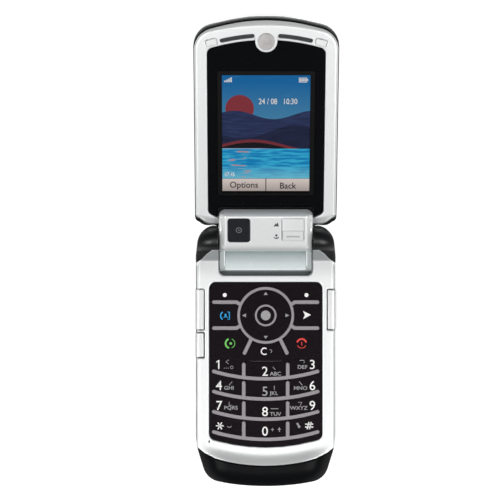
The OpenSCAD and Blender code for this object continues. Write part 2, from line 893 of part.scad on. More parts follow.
module side_key(side, middle, length) {
    color("gainsboro") intersection() {
        base_envelope(side_out);
        mirror([side < 0 ? 1 : 0, 0, 0])
            span(side_in, far, middle - length / 2, middle + length / 2,
                 seam_z + 1 + side_gap, far);
    }
}

// The rocker turns on a peg that stands in the gap under it
module volume_key() {
    side_key(-1, long_y, long_l);
    color("gainsboro") translate([-half_w + 1.6, long_y, seam_z + 1.05])
        cylinder(r = 2 * pivot_r, h = side_gap + pivot_r);
}

module smart_key() { side_key(-1, short_y, short_l); }
module voice_key() { side_key(1, long_y, long_l); }

// ---- Flip ----

module flip_envelope() {
    intersection() {
        slab(outer_w, inner_w) polygon(flip_outline);
        along_y(-far, far) polygon(rounded(mirrored([
            [flip_w / 2, outer_w, flip_edge_r], [flip_w / 2, inner_w, 0.9]])));
        along_x(-far, far) polygon(rounded([
            [2, inner_w + 1, 0], [2, outer_w, 3], [flip_l, outer_w, flip_edge_r],
            [flip_l, inner_w, 0.9], [2.5, inner_w, 0]]));
    }
}

module flip_cavity(w0, w1) {
    x = flip_w / 2 - cavity_in;
    end = flip_l - cavity_in;
    slab(w0, w1) polygon(rounded(mirrored([
        bow_corner(x - 6.35, end, u_end_bow, 1), [x, bow_y(x - 6.35, x, end, u_end_bow, 1), 6],
        [x, cavity_u, 2]])));
}

module block_room(gap) {
    span(-block_w / 2 - gap, block_w / 2 + gap, -far, block_l + gap, seam_w - 0.1, far);
}

module bumper_places() {
    both_sides() translate([bumper_x, bumper_u, 0]) rotate(-14) children();
}

// The round seat of the disc, and the neck that ties it to the window's far edge
module disc_seat(gap) {
    neck = disc_r + disc_rim - 0.1 + gap;
    translate([0, disc_u, -far]) cylinder(r = disc_r + disc_rim + gap, h = 2 * far);
    span(-neck, neck, disc_u, max(disc_u + 0.1, window_top), -far, far);
}

module flip_inner_housing() {
    color("gainsboro") in_flip() difference() {
        intersection() {
            flip_envelope();
            span(-far, far, -far, far, seam_w, far);
        }
        flip_cavity(-far, inner_w - plate - 0.2);
        difference() {
            slab(-far, far) polygon(window_outline(0));
            disc_seat(0);
            span(-far, far, -far, far, -far, inner_w - plate - 0.2);
        }
        slab(-far, far) both_sides() bowed_bar(slot_u, slot_x0, slot_x1, slot_t, -1);
        translate([0, disc_u, inner_w - disc_t]) cylinder(r = disc_r + 0.05, h = far);
        bumper_places() slab(inner_w - bumper[2] + bumper_out, far)
            square([bumper[0] + 0.1, bumper[1] + 0.1], center = true);
        block_room(0.1);
        both_sides() on_axis(ear_r + ear_gap, block_w / 2, far);
        wing_slope();
        main_camera_room(0.15);
    }
}

// The slope at the flip's lower corners that lies over the base's shoulders when shut
module wing_slope() {
    along_x(-far, far) polygon([
        [9, inner_w], [4.5, inner_w - shoulder + 0.15], [-2, inner_w - 5.3], [-2, far], [9, far]]);
}

module flip_outer_cover() {
    color("#26282a") in_flip() difference() {
        intersection() {
            flip_envelope();
            span(-far, far, -far, far, -far, seam_w - 0.05);
        }
        flip_cavity(back_w, far);
        on_axis(ear_r + ear_gap, -far, far);
        slab(-far, back_w + 1) outside_plan(0.1);
        translate([0, lens_u, -far]) cylinder(r = lens_r + 0.1, h = far);
        main_camera_room(0.15);
    }
}

module outside_plan(gap) {
    polygon(rounded(mirrored([
        [outside_w / 2 + gap, outside_u - outside_l / 2 - gap, 3],
        [outside_w / 2 + gap, outside_u + outside_l / 2 + gap, 3]])));
}

module display_window() {
    color([0.05, 0.05, 0.06, 0.6]) in_flip() difference() {
        slab(inner_w - lens_drop - lens_t, inner_w - lens_drop) polygon(window_outline(fit));
        disc_seat(fit);
    }
}

module display_frame() {
    x = flip_w / 2 - cavity_in - fit;
    color("#1c1c20") in_flip() slab(frame_w - frame_t, frame_w) difference() {
        polygon(rounded(mirrored([[x, cavity_u + fit, 2], [x, window_top - 5.8, 3]])));
        translate([-picture_w / 2 - 0.1, picture_u - picture_l / 2 - 0.1])
            square([picture_w + 0.2, picture_l + 0.2]);
    }
}

module display_module() {
    color("#2a5a9c") in_flip()
        span(-picture_w / 2 - 1.8, picture_w / 2 + 1.8, picture_u - picture_l / 2 - 3.4,
             picture_u + picture_l / 2 + 2, module_w - module_t, module_w);
}

module earpiece() {
    top = inner_w - plate - 0.3;
    color("#3b3d40") in_flip() slab(top - 2.6, top) polygon(rounded(mirrored([
        bow_corner(slot_x1 - 4.5, slot_u + 1.6, bow_r, 1), [slot_x1 - 0.5, slot_u - 0.6, 1],
        [slot_x1 - 0.5, slot_u - 3.4, 1]])));
}

module disc_cap() {
    color("silver") in_flip() translate([0, disc_u, inner_w - disc_t])
        cylinder(r = disc_r, h = disc_t + disc_lift);
}

module flip_bumpers() {
    color("whitesmoke") in_flip() bumper_places()
        slab(inner_w - bumper[2] + bumper_out, inner_w + bumper_out)
            square([bumper[0], bumper[1]], center = true);
}

module flip_board() {
    color("#1d5b3a") in_flip()
        span(-window_w / 2 + 0.7, window_w / 2 - 0.7, cavity_u + 0.8, window_top - 3.3,
             flip_board_w - flip_board_t, flip_board_w);
}

module outside_display() {
    color("#202a30") in_flip()
        span(-outside_w / 2 + 1, outside_w / 2 - 1, outside_u - outside_l / 2 + 1,
             outside_u + outside_l / 2 - 1, back_w + 0.1, outside_z);
}

module outside_window() {
    color([0.04, 0.04, 0.05, 0.7]) in_flip() slab(outer_w + touch, back_w) outside_plan(0);
}

// ---- Camera block and hinge ----

module camera_block() {
    color("gainsboro") in_flip() difference() {
        intersection() {
            union() {
                on_axis(barrel_r, -block_w / 2, block_w / 2);
                along_x(-block_w / 2, block_w / 2) polygon([
                    [0, block_h], [block_l - 1.3, block_h], [block_l, block_h - 1.3],
                    [block_l, seam_w], [0, seam_w]]);
            }
            along_y(-far, far) polygon(rounded(mirrored([
                [block_w / 2, -far, 0], [block_w / 2, block_h - 2.4, 0],
                [block_w / 2 - 2.3, block_h, 0]])));
            slab(-far, far) polygon(rounded([
                [-block_w / 2, -far, 0], [block_w / 2, -far, 0],
                [block_w / 2, block_l, 2.6], [-block_w / 2, block_l, 2.6]]));
        }
        on_axis(cartridge_r + 0.05, -block_w, video_x + video_camera / 2 + 1.2);
        on_axis(cartridge_r + 0.05, block_w / 2 - 6.5, block_w);
        video_plan(0.1, block_h - 0.9, far);
        translate([video_x - video_camera / 2 - fit, video_u + 0.4 - video_camera / 2 - fit, 0.5])
            cube([video_camera + 2 * fit, video_camera + 2 * fit, far]);
        span(macro_x - macro_w / 2 - 0.15, macro_x + macro_w / 2 + 0.15, groove_u0,
             macro_u + macro_l + macro_travel + 0.1, block_h - groove_t, far);
        main_camera_room(0.15);
    }
}

module video_plan(gap, w0, w1) {
    slab(w0, w1) polygon(rounded([for (s = [[-1, -1], [1, -1], [1, 1], [-1, 1]])
        [video_x + s[0] * (video_w / 2 + gap), video_u + s[1] * (video_l / 2 + gap), 0.8]]));
}

module video_camera_window() {
    color("#202226") in_flip() video_plan(0, block_h - 0.9 + 0.05, block_h - 0.05);
}

module video_camera() {
    color("#111214") in_flip()
        translate([video_x - video_camera / 2, video_u + 0.4 - video_camera / 2, 0.55])
            cube([video_camera, video_camera, block_h - 0.9 - 0.55]);
}

module main_camera_room(gap) {
    span(-camera_w / 2 - gap, camera_w / 2 + gap, lens_u - camera_w / 2 - gap,
         lens_u + camera_w / 2 + gap, camera_top - camera_t - gap, camera_top + gap);
}

module main_camera() {
    color("#15161a") in_flip() main_camera_room(0);
}

module camera_lens() {
    color("#0c1020") in_flip() translate([0, lens_u, lens_top - lens_l])
        cylinder(r = lens_barrel_r, h = lens_l);
}

module main_camera_window() {
    color("#101216") in_flip() translate([0, lens_u, outer_w + touch])
        cylinder(r = lens_r, h = lens_window_t);
}

module macro_switch() {
    low = block_h - groove_t + 0.05;
    color("whitesmoke") in_flip() {
        translate([macro_x - macro_w / 2, macro_u, low]) cube([macro_w, macro_l, macro_t]);
        translate([macro_x - 2.6, macro_u + macro_l / 2 - 0.35, low + macro_t - 0.1])
            cube([5.2, 0.5, 0.25]);
    }
}

module hinge_cartridge() {
    color("#8d9094") in_flip() {
        on_axis(cartridge_r, -block_w / 2 + 0.05, video_x + video_camera / 2 + 1);
        on_axis(pin_r, -ear_x - pin_l, -block_w / 2 + 1);
    }
}

module hinge_bush() {
    color("#a8905a") in_flip() difference() {
        union() {
            on_axis(cartridge_r, block_w / 2 - 6.4, block_w / 2 - 0.05);
            on_axis(pin_r, block_w / 2 - 1, ear_x + pin_l);
        }
        on_axis(pin_r - 0.6, 0, far);
    }
}

front_housing();
rear_housing();
chin_cover();
battery();
main_board();
shield_cans();
dome_sheet();
keymat();
charging_socket();
microphone();
loudspeaker();
antenna();
base_screws();
soft_key_left();
soft_key_right();
message_key();
browser_key();
send_key();
end_key();
clear_key();
key_1();
key_2();
key_3();
key_4();
key_5();
key_6();
key_7();
key_8();
key_9();
key_star();
key_0();
key_hash();
nav_collar();
nav_ring();
select_key();
volume_key();
smart_key();
voice_key();
battery_cover();
cover_latch();
flip_inner_housing();
flip_outer_cover();
display_window();
display_frame();
display_module();
earpiece();
disc_cap();
flip_bumpers();
flip_board();
outside_display();
outside_window();
camera_block();
video_camera_window();
video_camera();
main_camera();
main_camera_window();
camera_lens();
macro_switch();
hinge_cartridge();
hinge_bush();
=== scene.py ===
"""Looks of the clamshell phone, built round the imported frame.

Sizes are in millimetres until a mesh is made.
"""
import math

import bmesh
import bpy
from mathutils import Matrix, Vector


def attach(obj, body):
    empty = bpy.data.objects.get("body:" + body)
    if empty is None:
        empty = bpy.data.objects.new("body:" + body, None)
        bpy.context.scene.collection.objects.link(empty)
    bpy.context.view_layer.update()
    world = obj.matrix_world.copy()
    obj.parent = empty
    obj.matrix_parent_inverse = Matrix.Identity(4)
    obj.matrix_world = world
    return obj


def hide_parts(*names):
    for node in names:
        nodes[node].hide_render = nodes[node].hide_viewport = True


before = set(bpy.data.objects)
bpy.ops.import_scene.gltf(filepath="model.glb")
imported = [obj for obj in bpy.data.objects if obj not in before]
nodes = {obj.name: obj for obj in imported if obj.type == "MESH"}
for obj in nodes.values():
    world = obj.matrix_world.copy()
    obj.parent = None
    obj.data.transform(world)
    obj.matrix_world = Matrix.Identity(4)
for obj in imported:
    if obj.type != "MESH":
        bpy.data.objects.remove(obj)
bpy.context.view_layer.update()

MM = 0.001
HINGE_Y, HINGE_Z, OPEN_RISE = 44.3, 12.0, math.radians(20)
BASE = Matrix.Scale(MM, 4)
FLIP = Matrix.Scale(MM, 4) @ Matrix.Translation((0, HINGE_Y, HINGE_Z)) @ Matrix.Rotation(OPEN_RISE, 4, "X")
PLACES = {"flip": FLIP, "macro_switch": FLIP}

# The base, as in the CAD source
HALF_W, HALF_L, BASE_T = 26.5, 49.5, 11.6
BOW_R = 70.0
KEY_TOP, RIB_TOP = 11.3, 11.45
NAV_Y = 15.1
CHIN_Y = -41.4
# The flip: u along it from the hinge axis, w out of its inner face
FLIP_W, FLIP_L, INNER_W, SEAM_W = 53.3, 84.4, -0.2, -3.4
WINDOW_W, WINDOW_TOP, WINDOW_LEG = 43.4, 76.3, 8.15
BLOCK_W, BLOCK_L, BLOCK_H = 35.2, 11.6, 4.6
DISC_U, DISC_R = 75.7, 3.05
PICTURE_W, PICTURE_U0, PICTURE_U1 = 32.5, 17.4, 62.8


# ---------------------------------------------------------------- outlines


def unit(v):
    n = math.hypot(*v)
    return (v[0] / n, v[1] / n)


def corner_arc(before, c, after, steps):
    """The arc of radius c[2] that rounds corner c between its neighbours."""
    if c[2] == 0:
        return [(c[0], c[1])]
    u = unit((before[0] - c[0], before[1] - c[1]))
    v = unit((after[0] - c[0], after[1] - c[1]))
    half = math.acos(max(-1, min(1, u[0] * v[0] + u[1] * v[1]))) / 2
    m = unit((u[0] + v[0], u[1] + v[1]))
    mid = (c[0] + m[0] * c[2] / math.sin(half), c[1] + m[1] * c[2] / math.sin(half))
    reach = c[2] / math.tan(half)
    first = (c[0] + u[0] * reach - mid[0], c[1] + u[1] * reach - mid[1])
    last = (c[0] + v[0] * reach - mid[0], c[1] + v[1] * reach - mid[1])
    start = math.atan2(first[1], first[0])
    turn = (math.atan2(last[1], last[0]) - start + 3 * math.pi) % (2 * math.pi) - math.pi
    return [(mid[0] + c[2] * math.cos(start + turn * i / steps),
             mid[1] + c[2] * math.sin(start + turn * i / steps)) for i in range(steps + 1)]


def rounded(corners, steps=10):
    n, out = len(corners), []
    for i in range(n):
        out += corner_arc(corners[i - 1], corners[i], corners[(i + 1) % n], steps)
    return out


def mirrored(corners):
    return corners + [(-c[0], c[1], c[2]) for c in reversed(corners) if c[0] != 0]


def bow_corner(x, y, r, side):
    return (0, y + side * (r / math.cos(math.asin(x / r)) - r), r)


def bow_y(bow_x, x, y, r, side):
    return bow_corner(bow_x, y, r, side)[1] - side * x * math.tan(math.asin(bow_x / r))


def smile(y, x):
    return y + BOW_R - math.sqrt(BOW_R * BOW_R - x * x)


def offset(loop, d):
    """loop moved inwards by d, or outwards where d is below zero."""
    area = sum(a[0] * b[1] - b[0] * a[1] for a, b in zip(loop, loop[1:] + loop[:1]))
    s = d if area > 0 else -d
    out, n = [], len(loop)
    for i in range(n):
        a, b, c = loop[i - 1], loop[i], loop[(i + 1) % n]
        e, f = unit((b[0] - a[0], b[1] - a[1])), unit((c[0] - b[0], c[1] - b[1]))
        nx, ny = -(e[1] + f[1]), e[0] + f[0]
        k = s / max(0.3, (nx * nx + ny * ny) / 2)
        out.append((b[0] + nx * k, b[1] + ny * k))
    return out


def circle(x, y, r, n=48):
    return [(x + r * math.cos(2 * math.pi * i / n), y + r * math.sin(2 * math.pi * i / n)) for i in range(n)]


def box_loop(x0, x1, y0, y1, r=0):
    return rounded([(x0, y0, r), (x1, y0, r), (x1, y1, r), (x0, y1, r)], 6)


def window_loop(inset):
    """The display window's outline, moved inwards."""
    x, end = WINDOW_W / 2 - inset, WINDOW_TOP - inset
    side = BLOCK_W / 2 + 0.3 + inset
    return rounded(mirrored([
        bow_corner(18, end, BOW_R, 1), (x, bow_y(18, WINDOW_W / 2, end, BOW_R, 1), 2.5),
        (x, WINDOW_LEG + inset, 1), (side, WINDOW_LEG + inset, 0), (side, BLOCK_L + 0.1 + inset, 0)]))


def arc_bar(x0, x1, y, t, side):
    """A bowed bar with round ends; its middle line runs through (0, y)."""
    n = 16

    def mid(x):
        return y + side * (BOW_R - math.sqrt(BOW_R * BOW_R - x * x))

    def slope(x):
        return side * x / math.sqrt(BOW_R * BOW_R - x * x)

    def edge(steps, way):
        out = []
        for k in steps:
            x = x0 + (x1 - x0) * k / n
            m = unit((-slope(x), 1))
            out.append((x + way * m[0] * t / 2, mid(x) + way * m[1] * t / 2))
        return out

    def cap(x, way):
        a = math.atan(slope(x)) + way * math.pi / 2
        turns = [a + math.pi * k / 8 for k in range(1, 8)]
        return [(x + t / 2 * math.cos(b), mid(x) + t / 2 * math.sin(b)) for b in turns]

    return edge(range(n + 1), -1) + cap(x1, -1) + edge(range(n, -1, -1), 1) + cap(x0, 1)


# ---------------------------------------------------------------- materials

def lin(colour):
    """Linear colour from display values 0 to 255."""
    def one(c):
        c /= 255
        return c / 12.92 if c <= 0.04045 else ((c + 0.055) / 1.055) ** 2.4
    return (*map(one, colour), 1.0)


def set_inputs(nt, node, values):
    """Sets a node's inputs, each to a value or to a link from a socket."""
    for key, value in values.items():
        if isinstance(value, bpy.types.NodeSocket):
            nt.links.new(value, node.inputs[key])
        else:
            node.inputs[key].default_value = value


def add_node(nt, kind, inputs=None, **settings):
    node = nt.nodes.new("ShaderNode" + kind)
    for key, value in settings.items():
        setattr(node, key, value)
    set_inputs(nt, node, inputs or {})
    return node


def colour_ramp(nt, fac, stops):
    """The colour at fac on a ramp through stops, each a place from 0 to 1 and its colour."""
    node = add_node(nt, "ValToRGB", {"Fac": fac})
    elements = node.color_ramp.elements
    elements[0].position = stops[0][0]
    elements[1].position = stops[-1][0]
    for at, _ in stops[1:-1]:
        elements.new(at)
    for element, (_, colour) in zip(elements, stops):
        element.color = colour
    return node.outputs["Color"]


def new_material(name):
    m = bpy.data.materials.new(name)
    m.use_nodes = True
    return m, m.node_tree


def surface(name, dark, light, rough, specular=0.5, bump=0.05, metallic=0.0, grain=1800.0,
            bump_size=6000.0, streak=None, alpha=1.0, shade=None):
    """A moulded or painted surface: mottled colour, uneven gloss and a fine texture.

    shade gives painted shade: the tones that its colour is multiplied by at places along y, in metres.
    """
    m, nt = new_material(name)
    shader = nt.nodes["Principled BSDF"]
    coords = add_node(nt, "TexCoord").outputs["Object"]
    place = coords
    if streak:
        place = add_node(nt, "Mapping", {"Vector": coords, "Scale": streak}).outputs["Vector"]
    cloud = add_node(nt, "TexNoise", {"Vector": place, "Scale": grain, "Detail": 5.0}).outputs["Fac"]
    colour = colour_ramp(nt, cloud, [(0.35, lin(dark)), (0.65, lin(light))])
    if shade:
        first, last = shade[0][0], shade[-1][0]
        along = add_node(nt, "SeparateXYZ", {"Vector": coords}).outputs["Y"]
        share = add_node(nt, "MapRange", {"Value": along, "From Min": first, "From Max": last})
        stops = [((at - first) / (last - first), lin(tone)) for at, tone in shade]
        tones = colour_ramp(nt, share.outputs["Result"], stops)
        both = add_node(nt, "Mix", {0: 1.0, 6: colour, 7: tones}, data_type="RGBA", blend_type="MULTIPLY")
        colour = both.outputs[2]
    gloss = add_node(nt, "MapRange", {"Value": cloud, "To Min": rough[0], "To Max": rough[1]})
    set_inputs(nt, shader, {
        "Base Color": colour, "Roughness": gloss.outputs["Result"], "Metallic": metallic,
        "Specular IOR Level": specular, "Alpha": alpha})
    if bump:
        fine = add_node(nt, "TexNoise", {"Vector": place, "Scale": bump_size, "Detail": 3.0})
        relief = add_node(nt, "Bump", {"Height": fine.outputs["Fac"], "Strength": bump, "Distance": 0.00005})
        nt.links.new(relief.outputs["Normal"], shader.inputs["Normal"])
    return m


SILVER = surface("silver paint", (227, 229, 229), (231, 233, 233), (0.36, 0.4), 0.4, 0.02, metallic=0.4)
# Painted shade: the face silver is a little darker from y 29 mm and much darker over the shoulders below the
# ears from y 36 mm.
SHELL_SILVER_PAINTED_SHADE = surface("shell silver with painted shade", (231, 233, 233), (235, 237, 237), (0.36, 0.4), 0.4, 0.02, metallic=0.4,
                       shade=((0.029, (255, 255, 255)), (0.033, (236, 236, 236)), (0.0354, (230, 230, 230)),
                              (0.0363, (182, 184, 185)), (0.0395, (180, 184, 185))))
# Painted shade: dark on the pocket's near wall, and a painted shadow of the camera block that darkens the
# floor towards the hinge.
POCKET_SILVER_PAINTED_SHADE = surface("pocket silver with painted shade", (246, 247, 247), (252, 253, 253), (0.34, 0.38), 0.4, 0.02,
                        metallic=0.3, shade=((0.0302, (66, 68, 68)), (0.0316, (92, 95, 95)),
                                             (0.0323, (226, 232, 232)), (0.0345, (214, 221, 221)), (0.0376,
                                                                                                    (184, 194,
                                                                                                     194)), (0.0398, (140, 158, 156))))
# Painted highlight: a near-white strip for bright lines along the pocket's edges.
PAINTED_HIGHLIGHT_WHITE = surface("painted highlight", (244, 248, 248), (250, 253, 253), (0.5, 0.6), 0.2, 0)
SILVER_KEY = surface("silver key", (228, 229, 228), (233, 234, 233), (0.32, 0.36), bump=0.02, metallic=0.35)
BLACK_SATIN = surface("black satin", (8, 9, 11), (12, 13, 15), (0.27, 0.32), 0.28, 0.06)
EAR_BLACK = surface("ear black", (9, 10, 12), (13, 14, 16), (0.34, 0.39), 0.5, 0.06)
CHIN_BLACK = surface("chin black", (7, 8, 10), (11, 12, 14), (0.36, 0.42), 0.08, 0.05)
RIM_BLACK = surface("rim black", (8, 8, 9), (13, 13, 14), (0.5, 0.56), 0.15, 0.06)
COVER_GREY = surface("cover grey", (104, 107, 108), (114, 117, 118), (0.34, 0.42), 0.4, 0.06, metallic=0.3)
# Painted shade: a mid grey for the band laid over the silver on the flip's wings.
WING_PAINTED_SHADE_GREY = surface("wing band with painted shade", (118, 121, 121), (130, 133, 133), (0.4, 0.48), 0.3, 0.03)
SLOT_GREY = surface("slot mesh", (48, 52, 52), (58, 62, 62), (0.45, 0.6), 0.2, 0.2, grain=3000,
                    bump_size=2500)
KEY_FILM = surface("key film", (19, 14, 18), (24, 18, 22), (0.16, 0.22), 0.2, 0.02, grain=900)
RIB_RUBBER = surface("rib rubber", (143, 138, 142), (153, 148, 152), (0.5, 0.6), 0.3, 0.1)
LENS_BLACK = surface("black lens", (9, 10, 12), (12, 13, 15), (0.08, 0.14), 0.25, 0)
FRAME_BLACK = surface("display frame", (4, 4, 5), (7, 7, 8), (0.4, 0.5), 0.12)
GLASS_GREY = surface("lens ring", (84, 86, 90), (100, 102, 106), (0.35, 0.45), 0.3)
BOARD = surface("board", (16, 60, 36), (24, 84, 50), (0.3, 0.45), grain=700)
TIN = surface("tinned metal", (150, 152, 154), (178, 180, 182), (0.28, 0.4), metallic=1.0)
STEEL = surface("steel", (140, 142, 145), (172, 174, 176), (0.22, 0.34), metallic=1.0, streak=(0.2, 1, 1))
BRONZE = surface("bronze", (150, 118, 70), (176, 142, 88), (0.3, 0.42), metallic=1.0)
FILM = surface("dome film", (196, 188, 150), (214, 206, 168), (0.35, 0.5))
BATTERY = surface("battery label", (46, 50, 56), (58, 62, 68), (0.4, 0.5))
TAN = surface("antenna carrier", (176, 150, 98), (196, 170, 116), (0.45, 0.6))
DISC = surface("satin disc", (166, 162, 162), (186, 182, 182), (0.4, 0.5), metallic=0.35, grain=260)
RUBBER_WHITE = surface("bumper rubber", (222, 223, 222), (230, 231, 230), (0.5, 0.6))
CAMERA_BLACK = surface("camera black", (20, 21, 24), (28, 29, 33), (0.2, 0.3), 0.3)
VIDEO_GLASS = surface("video window", (29, 31, 35), (36, 38, 42), (0.2, 0.28), 0.25, 0)
CLEAR = surface("clear lens", (8, 8, 9), (12, 12, 13), (0.04, 0.07), 0.5, 0, alpha=0.1)
INK_WHITE = surface("white print", (232, 232, 230), (244, 244, 242), (0.5, 0.6), 0.2)
INK_GREY = surface("grey print", (150, 149, 150), (164, 163, 164), (0.5, 0.6), 0.2)
INK_CYAN = surface("cyan print", (28, 150, 214), (52, 170, 226), (0.5, 0.6), 0.2)
INK_GREEN = surface("green print", (96, 186, 84), (124, 206, 108), (0.5, 0.6), 0.2)
INK_RED = surface("red print", (214, 58, 56), (230, 76, 70), (0.5, 0.6), 0.2)
INK_BLACK = surface("black print", (22, 16, 18), (32, 25, 27), (0.5, 0.6), 0.1)
INK_DARK = surface("dark print", (70, 70, 72), (84, 84, 86), (0.5, 0.6), 0.2)

NODE_LOOKS = {node: material for material, names in (
    (SILVER, "front_housing flip_inner_housing camera_block"),
    (BLACK_SATIN, "rear_housing chin_cover battery_cover"),
    (BATTERY, "battery"),
    (BOARD, "main_board flip_board"),
    (TIN, "shield_cans charging_socket microphone"),
    (FILM, "dome_sheet"),
    (RIB_RUBBER, "keymat"),
    (CAMERA_BLACK, "loudspeaker display_module earpiece video_camera main_camera camera_lens"),
    (TAN, "antenna"),
    (STEEL, "base_screws hinge_cartridge"),
    (KEY_FILM, "nav_collar"),
    (SILVER_KEY, "volume_key smart_key voice_key macro_switch"),
    (COVER_GREY, "cover_latch flip_outer_cover"),
    (CLEAR, "display_window"),
    (LENS_BLACK, "display_frame outside_display outside_window main_camera_window"),
    (DISC, "disc_cap"),
    (RUBBER_WHITE, "flip_bumpers"),
    (VIDEO_GLASS, "video_camera_window"),
    (BRONZE, "hinge_bush"),
) for node in names.split()}

# ---------------------------------------------------------------- meshes


def smooth_group():
    """A geometry node group that shades every face smooth."""
    g = bpy.data.node_groups.new("shade smooth", "GeometryNodeTree")
    g.interface.new_socket("Geometry", in_out="INPUT", socket_type="NodeSocketGeometry")
    g.interface.new_socket("Geometry", in_out="OUTPUT", socket_type="NodeSocketGeometry")
    a, b = g.nodes.new("NodeGroupInput"), g.nodes.new("NodeGroupOutput")
    s = g.nodes.new("GeometryNodeSetShadeSmooth")
    g.links.new(a.outputs[0], s.inputs["Geometry"])
    g.links.new(s.outputs["Geometry"], b.inputs[0])
    return g


SMOOTH = smooth_group()


def modify(o, name, kind, **settings):
    modifier = o.modifiers.new(name, kind)
    for key, value in settings.items():
        setattr(modifier, key, value)


def soften(o, width):
    """Rounds the hard edges of a piece with modifiers only."""
    modify(o, "weld", "WELD", merge_threshold=1e-6)
    modify(o, "flat", "DECIMATE", decimate_type="DISSOLVE", angle_limit=math.radians(1))
    if width:
        modify(o, "round", "BEVEL", width=width * MM, segments=3, limit_method="ANGLE",
               angle_limit=math.radians(30), miter_outer="MITER_ARC")
    modify(o, "shade", "NODES", node_group=SMOOTH)
    modify(o, "normals", "WEIGHTED_NORMAL", keep_sharp=False)


def link_object(name, data):
    o = bpy.data.objects.new(name, data)
    bpy.context.scene.collection.objects.link(o)
    return o


def evaluated(o):
    """A mesh of o with its modifiers applied."""
    bpy.context.view_layer.update()
    return bpy.data.meshes.new_from_object(o.evaluated_get(bpy.context.evaluated_depsgraph_get()))


def finish_mesh(name, bm, material, body, stands_for=(), smooth=True):
    """A piece that rides on body, from a mesh in millimetres in that body's own frame."""
    bmesh.ops.recalc_face_normals(bm, faces=bm.faces)
    bm.transform(PLACES.get(body, BASE))
    me = bpy.data.meshes.new(name)
    bm.to_mesh(me)
    bm.free()
    for p in me.polygons:
        p.use_smooth = smooth
    me.materials.append(material)
    o = link_object(name, me)
    if smooth:
        modify(o, "normals", "WEIGHTED_NORMAL", keep_sharp=False)
    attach(o, body)
    if stands_for:
        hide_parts(*stands_for)
    return o


def add_ring(bm, loop, w):
    return [bm.verts.new((x, y, w(x, y) if callable(w) else w)) for x, y in loop]


def join_rings(bm, a, b):
    n = len(a)
    for i in range(n):
        bm.faces.new((a[i], a[(i + 1) % n], b[(i + 1) % n], b[i]))


def fill(bm, rings):
    """A flat face bounded by the first ring, with the others as holes in it."""
    edges = []
    for ring in rings:
        for i, v in enumerate(ring):
            other = ring[(i + 1) % len(ring)]
            e = bm.edges.get((v, other)) or bm.edges.new((v, other))
            edges.append(e)
    bmesh.ops.triangle_fill(bm, use_beauty=True, use_dissolve=False, edges=edges)


def edge_steps(r):
    """The insets and drops of a rounded edge, from its top to its foot."""
    turns = [math.pi / 2 * k / 4 for k in range(5)]
    return [(r * (1 - math.sin(a)), r * (1 - math.cos(a))) for a in turns]


def plate(outer, holes, top, bottom, r_out=0.2, r_hole=0.15):
    """A plate with rounded upper edges. Holes go through."""
    bm = bmesh.new()
    tops, lows = [], []
    for k, loop in enumerate([outer] + list(holes)):
        r, side = (r_hole, -1) if k else (r_out, 1)
        rings = [add_ring(bm, offset(loop, side * inset), top - drop) for inset, drop in edge_steps(r)]
        rings.append(add_ring(bm, loop, bottom))
        for a, b in zip(rings, rings[1:]):
            join_rings(bm, a, b)
        tops.append(rings[0])
        lows.append(rings[-1])
    fill(bm, tops)
    fill(bm, lows)
    return bm


def warp(bm, move):
    for v in bm.verts:
        v.co = Vector(move(*v.co))
    return bm


def ribbon(points, width):
    """A flat stroke of that width along points, as a loop."""
    left, right = [], []
    for i, p in enumerate(points):
        a, b = points[max(i - 1, 0)], points[min(i + 1, len(points) - 1)]
        t = unit((b[0] - a[0], b[1] - a[1]))
        left.append((p[0] - t[1] * width / 2, p[1] + t[0] * width / 2))
        right.append((p[0] + t[1] * width / 2, p[1] - t[0] * width / 2))
    return right + left[::-1]


def arc(x, y, r, a0, a1):
    turns = [math.radians(a0 + (a1 - a0) * k / 20) for k in range(21)]
    return [(x + r * math.cos(a), y + r * math.sin(a)) for a in turns]


def prints(name, shapes, material, body, z, t=0.03):
    """Thin printed shapes lying on a face. Each shape is a loop, or a loop and its holes."""
    bm = bmesh.new()
    for shape in shapes:
        loops = shape if isinstance(shape[0], list) else [shape]
        tops = [add_ring(bm, loop, z + t) for loop in loops]
        lows = [add_ring(bm, loop, z) for loop in loops]
        for a, b in zip(tops, lows):
            join_rings(bm, a, b)
        fill(bm, tops)
        fill(bm, lows)
    return finish_mesh(name, bm, material, body, smooth=False)


def words(name, text, x, y, height, material, body, z, align="CENTER", bold=0.0, wide=1.0):
    """Plain characters as thin geometry; height is that of a digit."""
    t = 0.03
    c = bpy.data.curves.new(name, "FONT")
    c.body, c.align_x, c.align_y = text, align, "CENTER"
    c.size = height / 0.69
    c.extrude, c.offset, c.resolution_u = t / 2, bold, 3
    source = link_object(name + "_source", c)
    me = evaluated(source)
    bpy.data.objects.remove(source)
    ys = [v.co.y for v in me.vertices]
    mid = (min(ys) + max(ys)) / 2
    me.transform(PLACES.get(body, BASE) @ Matrix.Translation((x, y, z + t / 2))
                 @ Matrix.Diagonal((wide, 1, 1, 1)) @ Matrix.Translation((0, -mid, 0)))
    me.name = name
    me.materials.clear()
    me.materials.append(material)
    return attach(link_object(name, me), body)


# ---------------------------------------------------------------- carried-over nodes

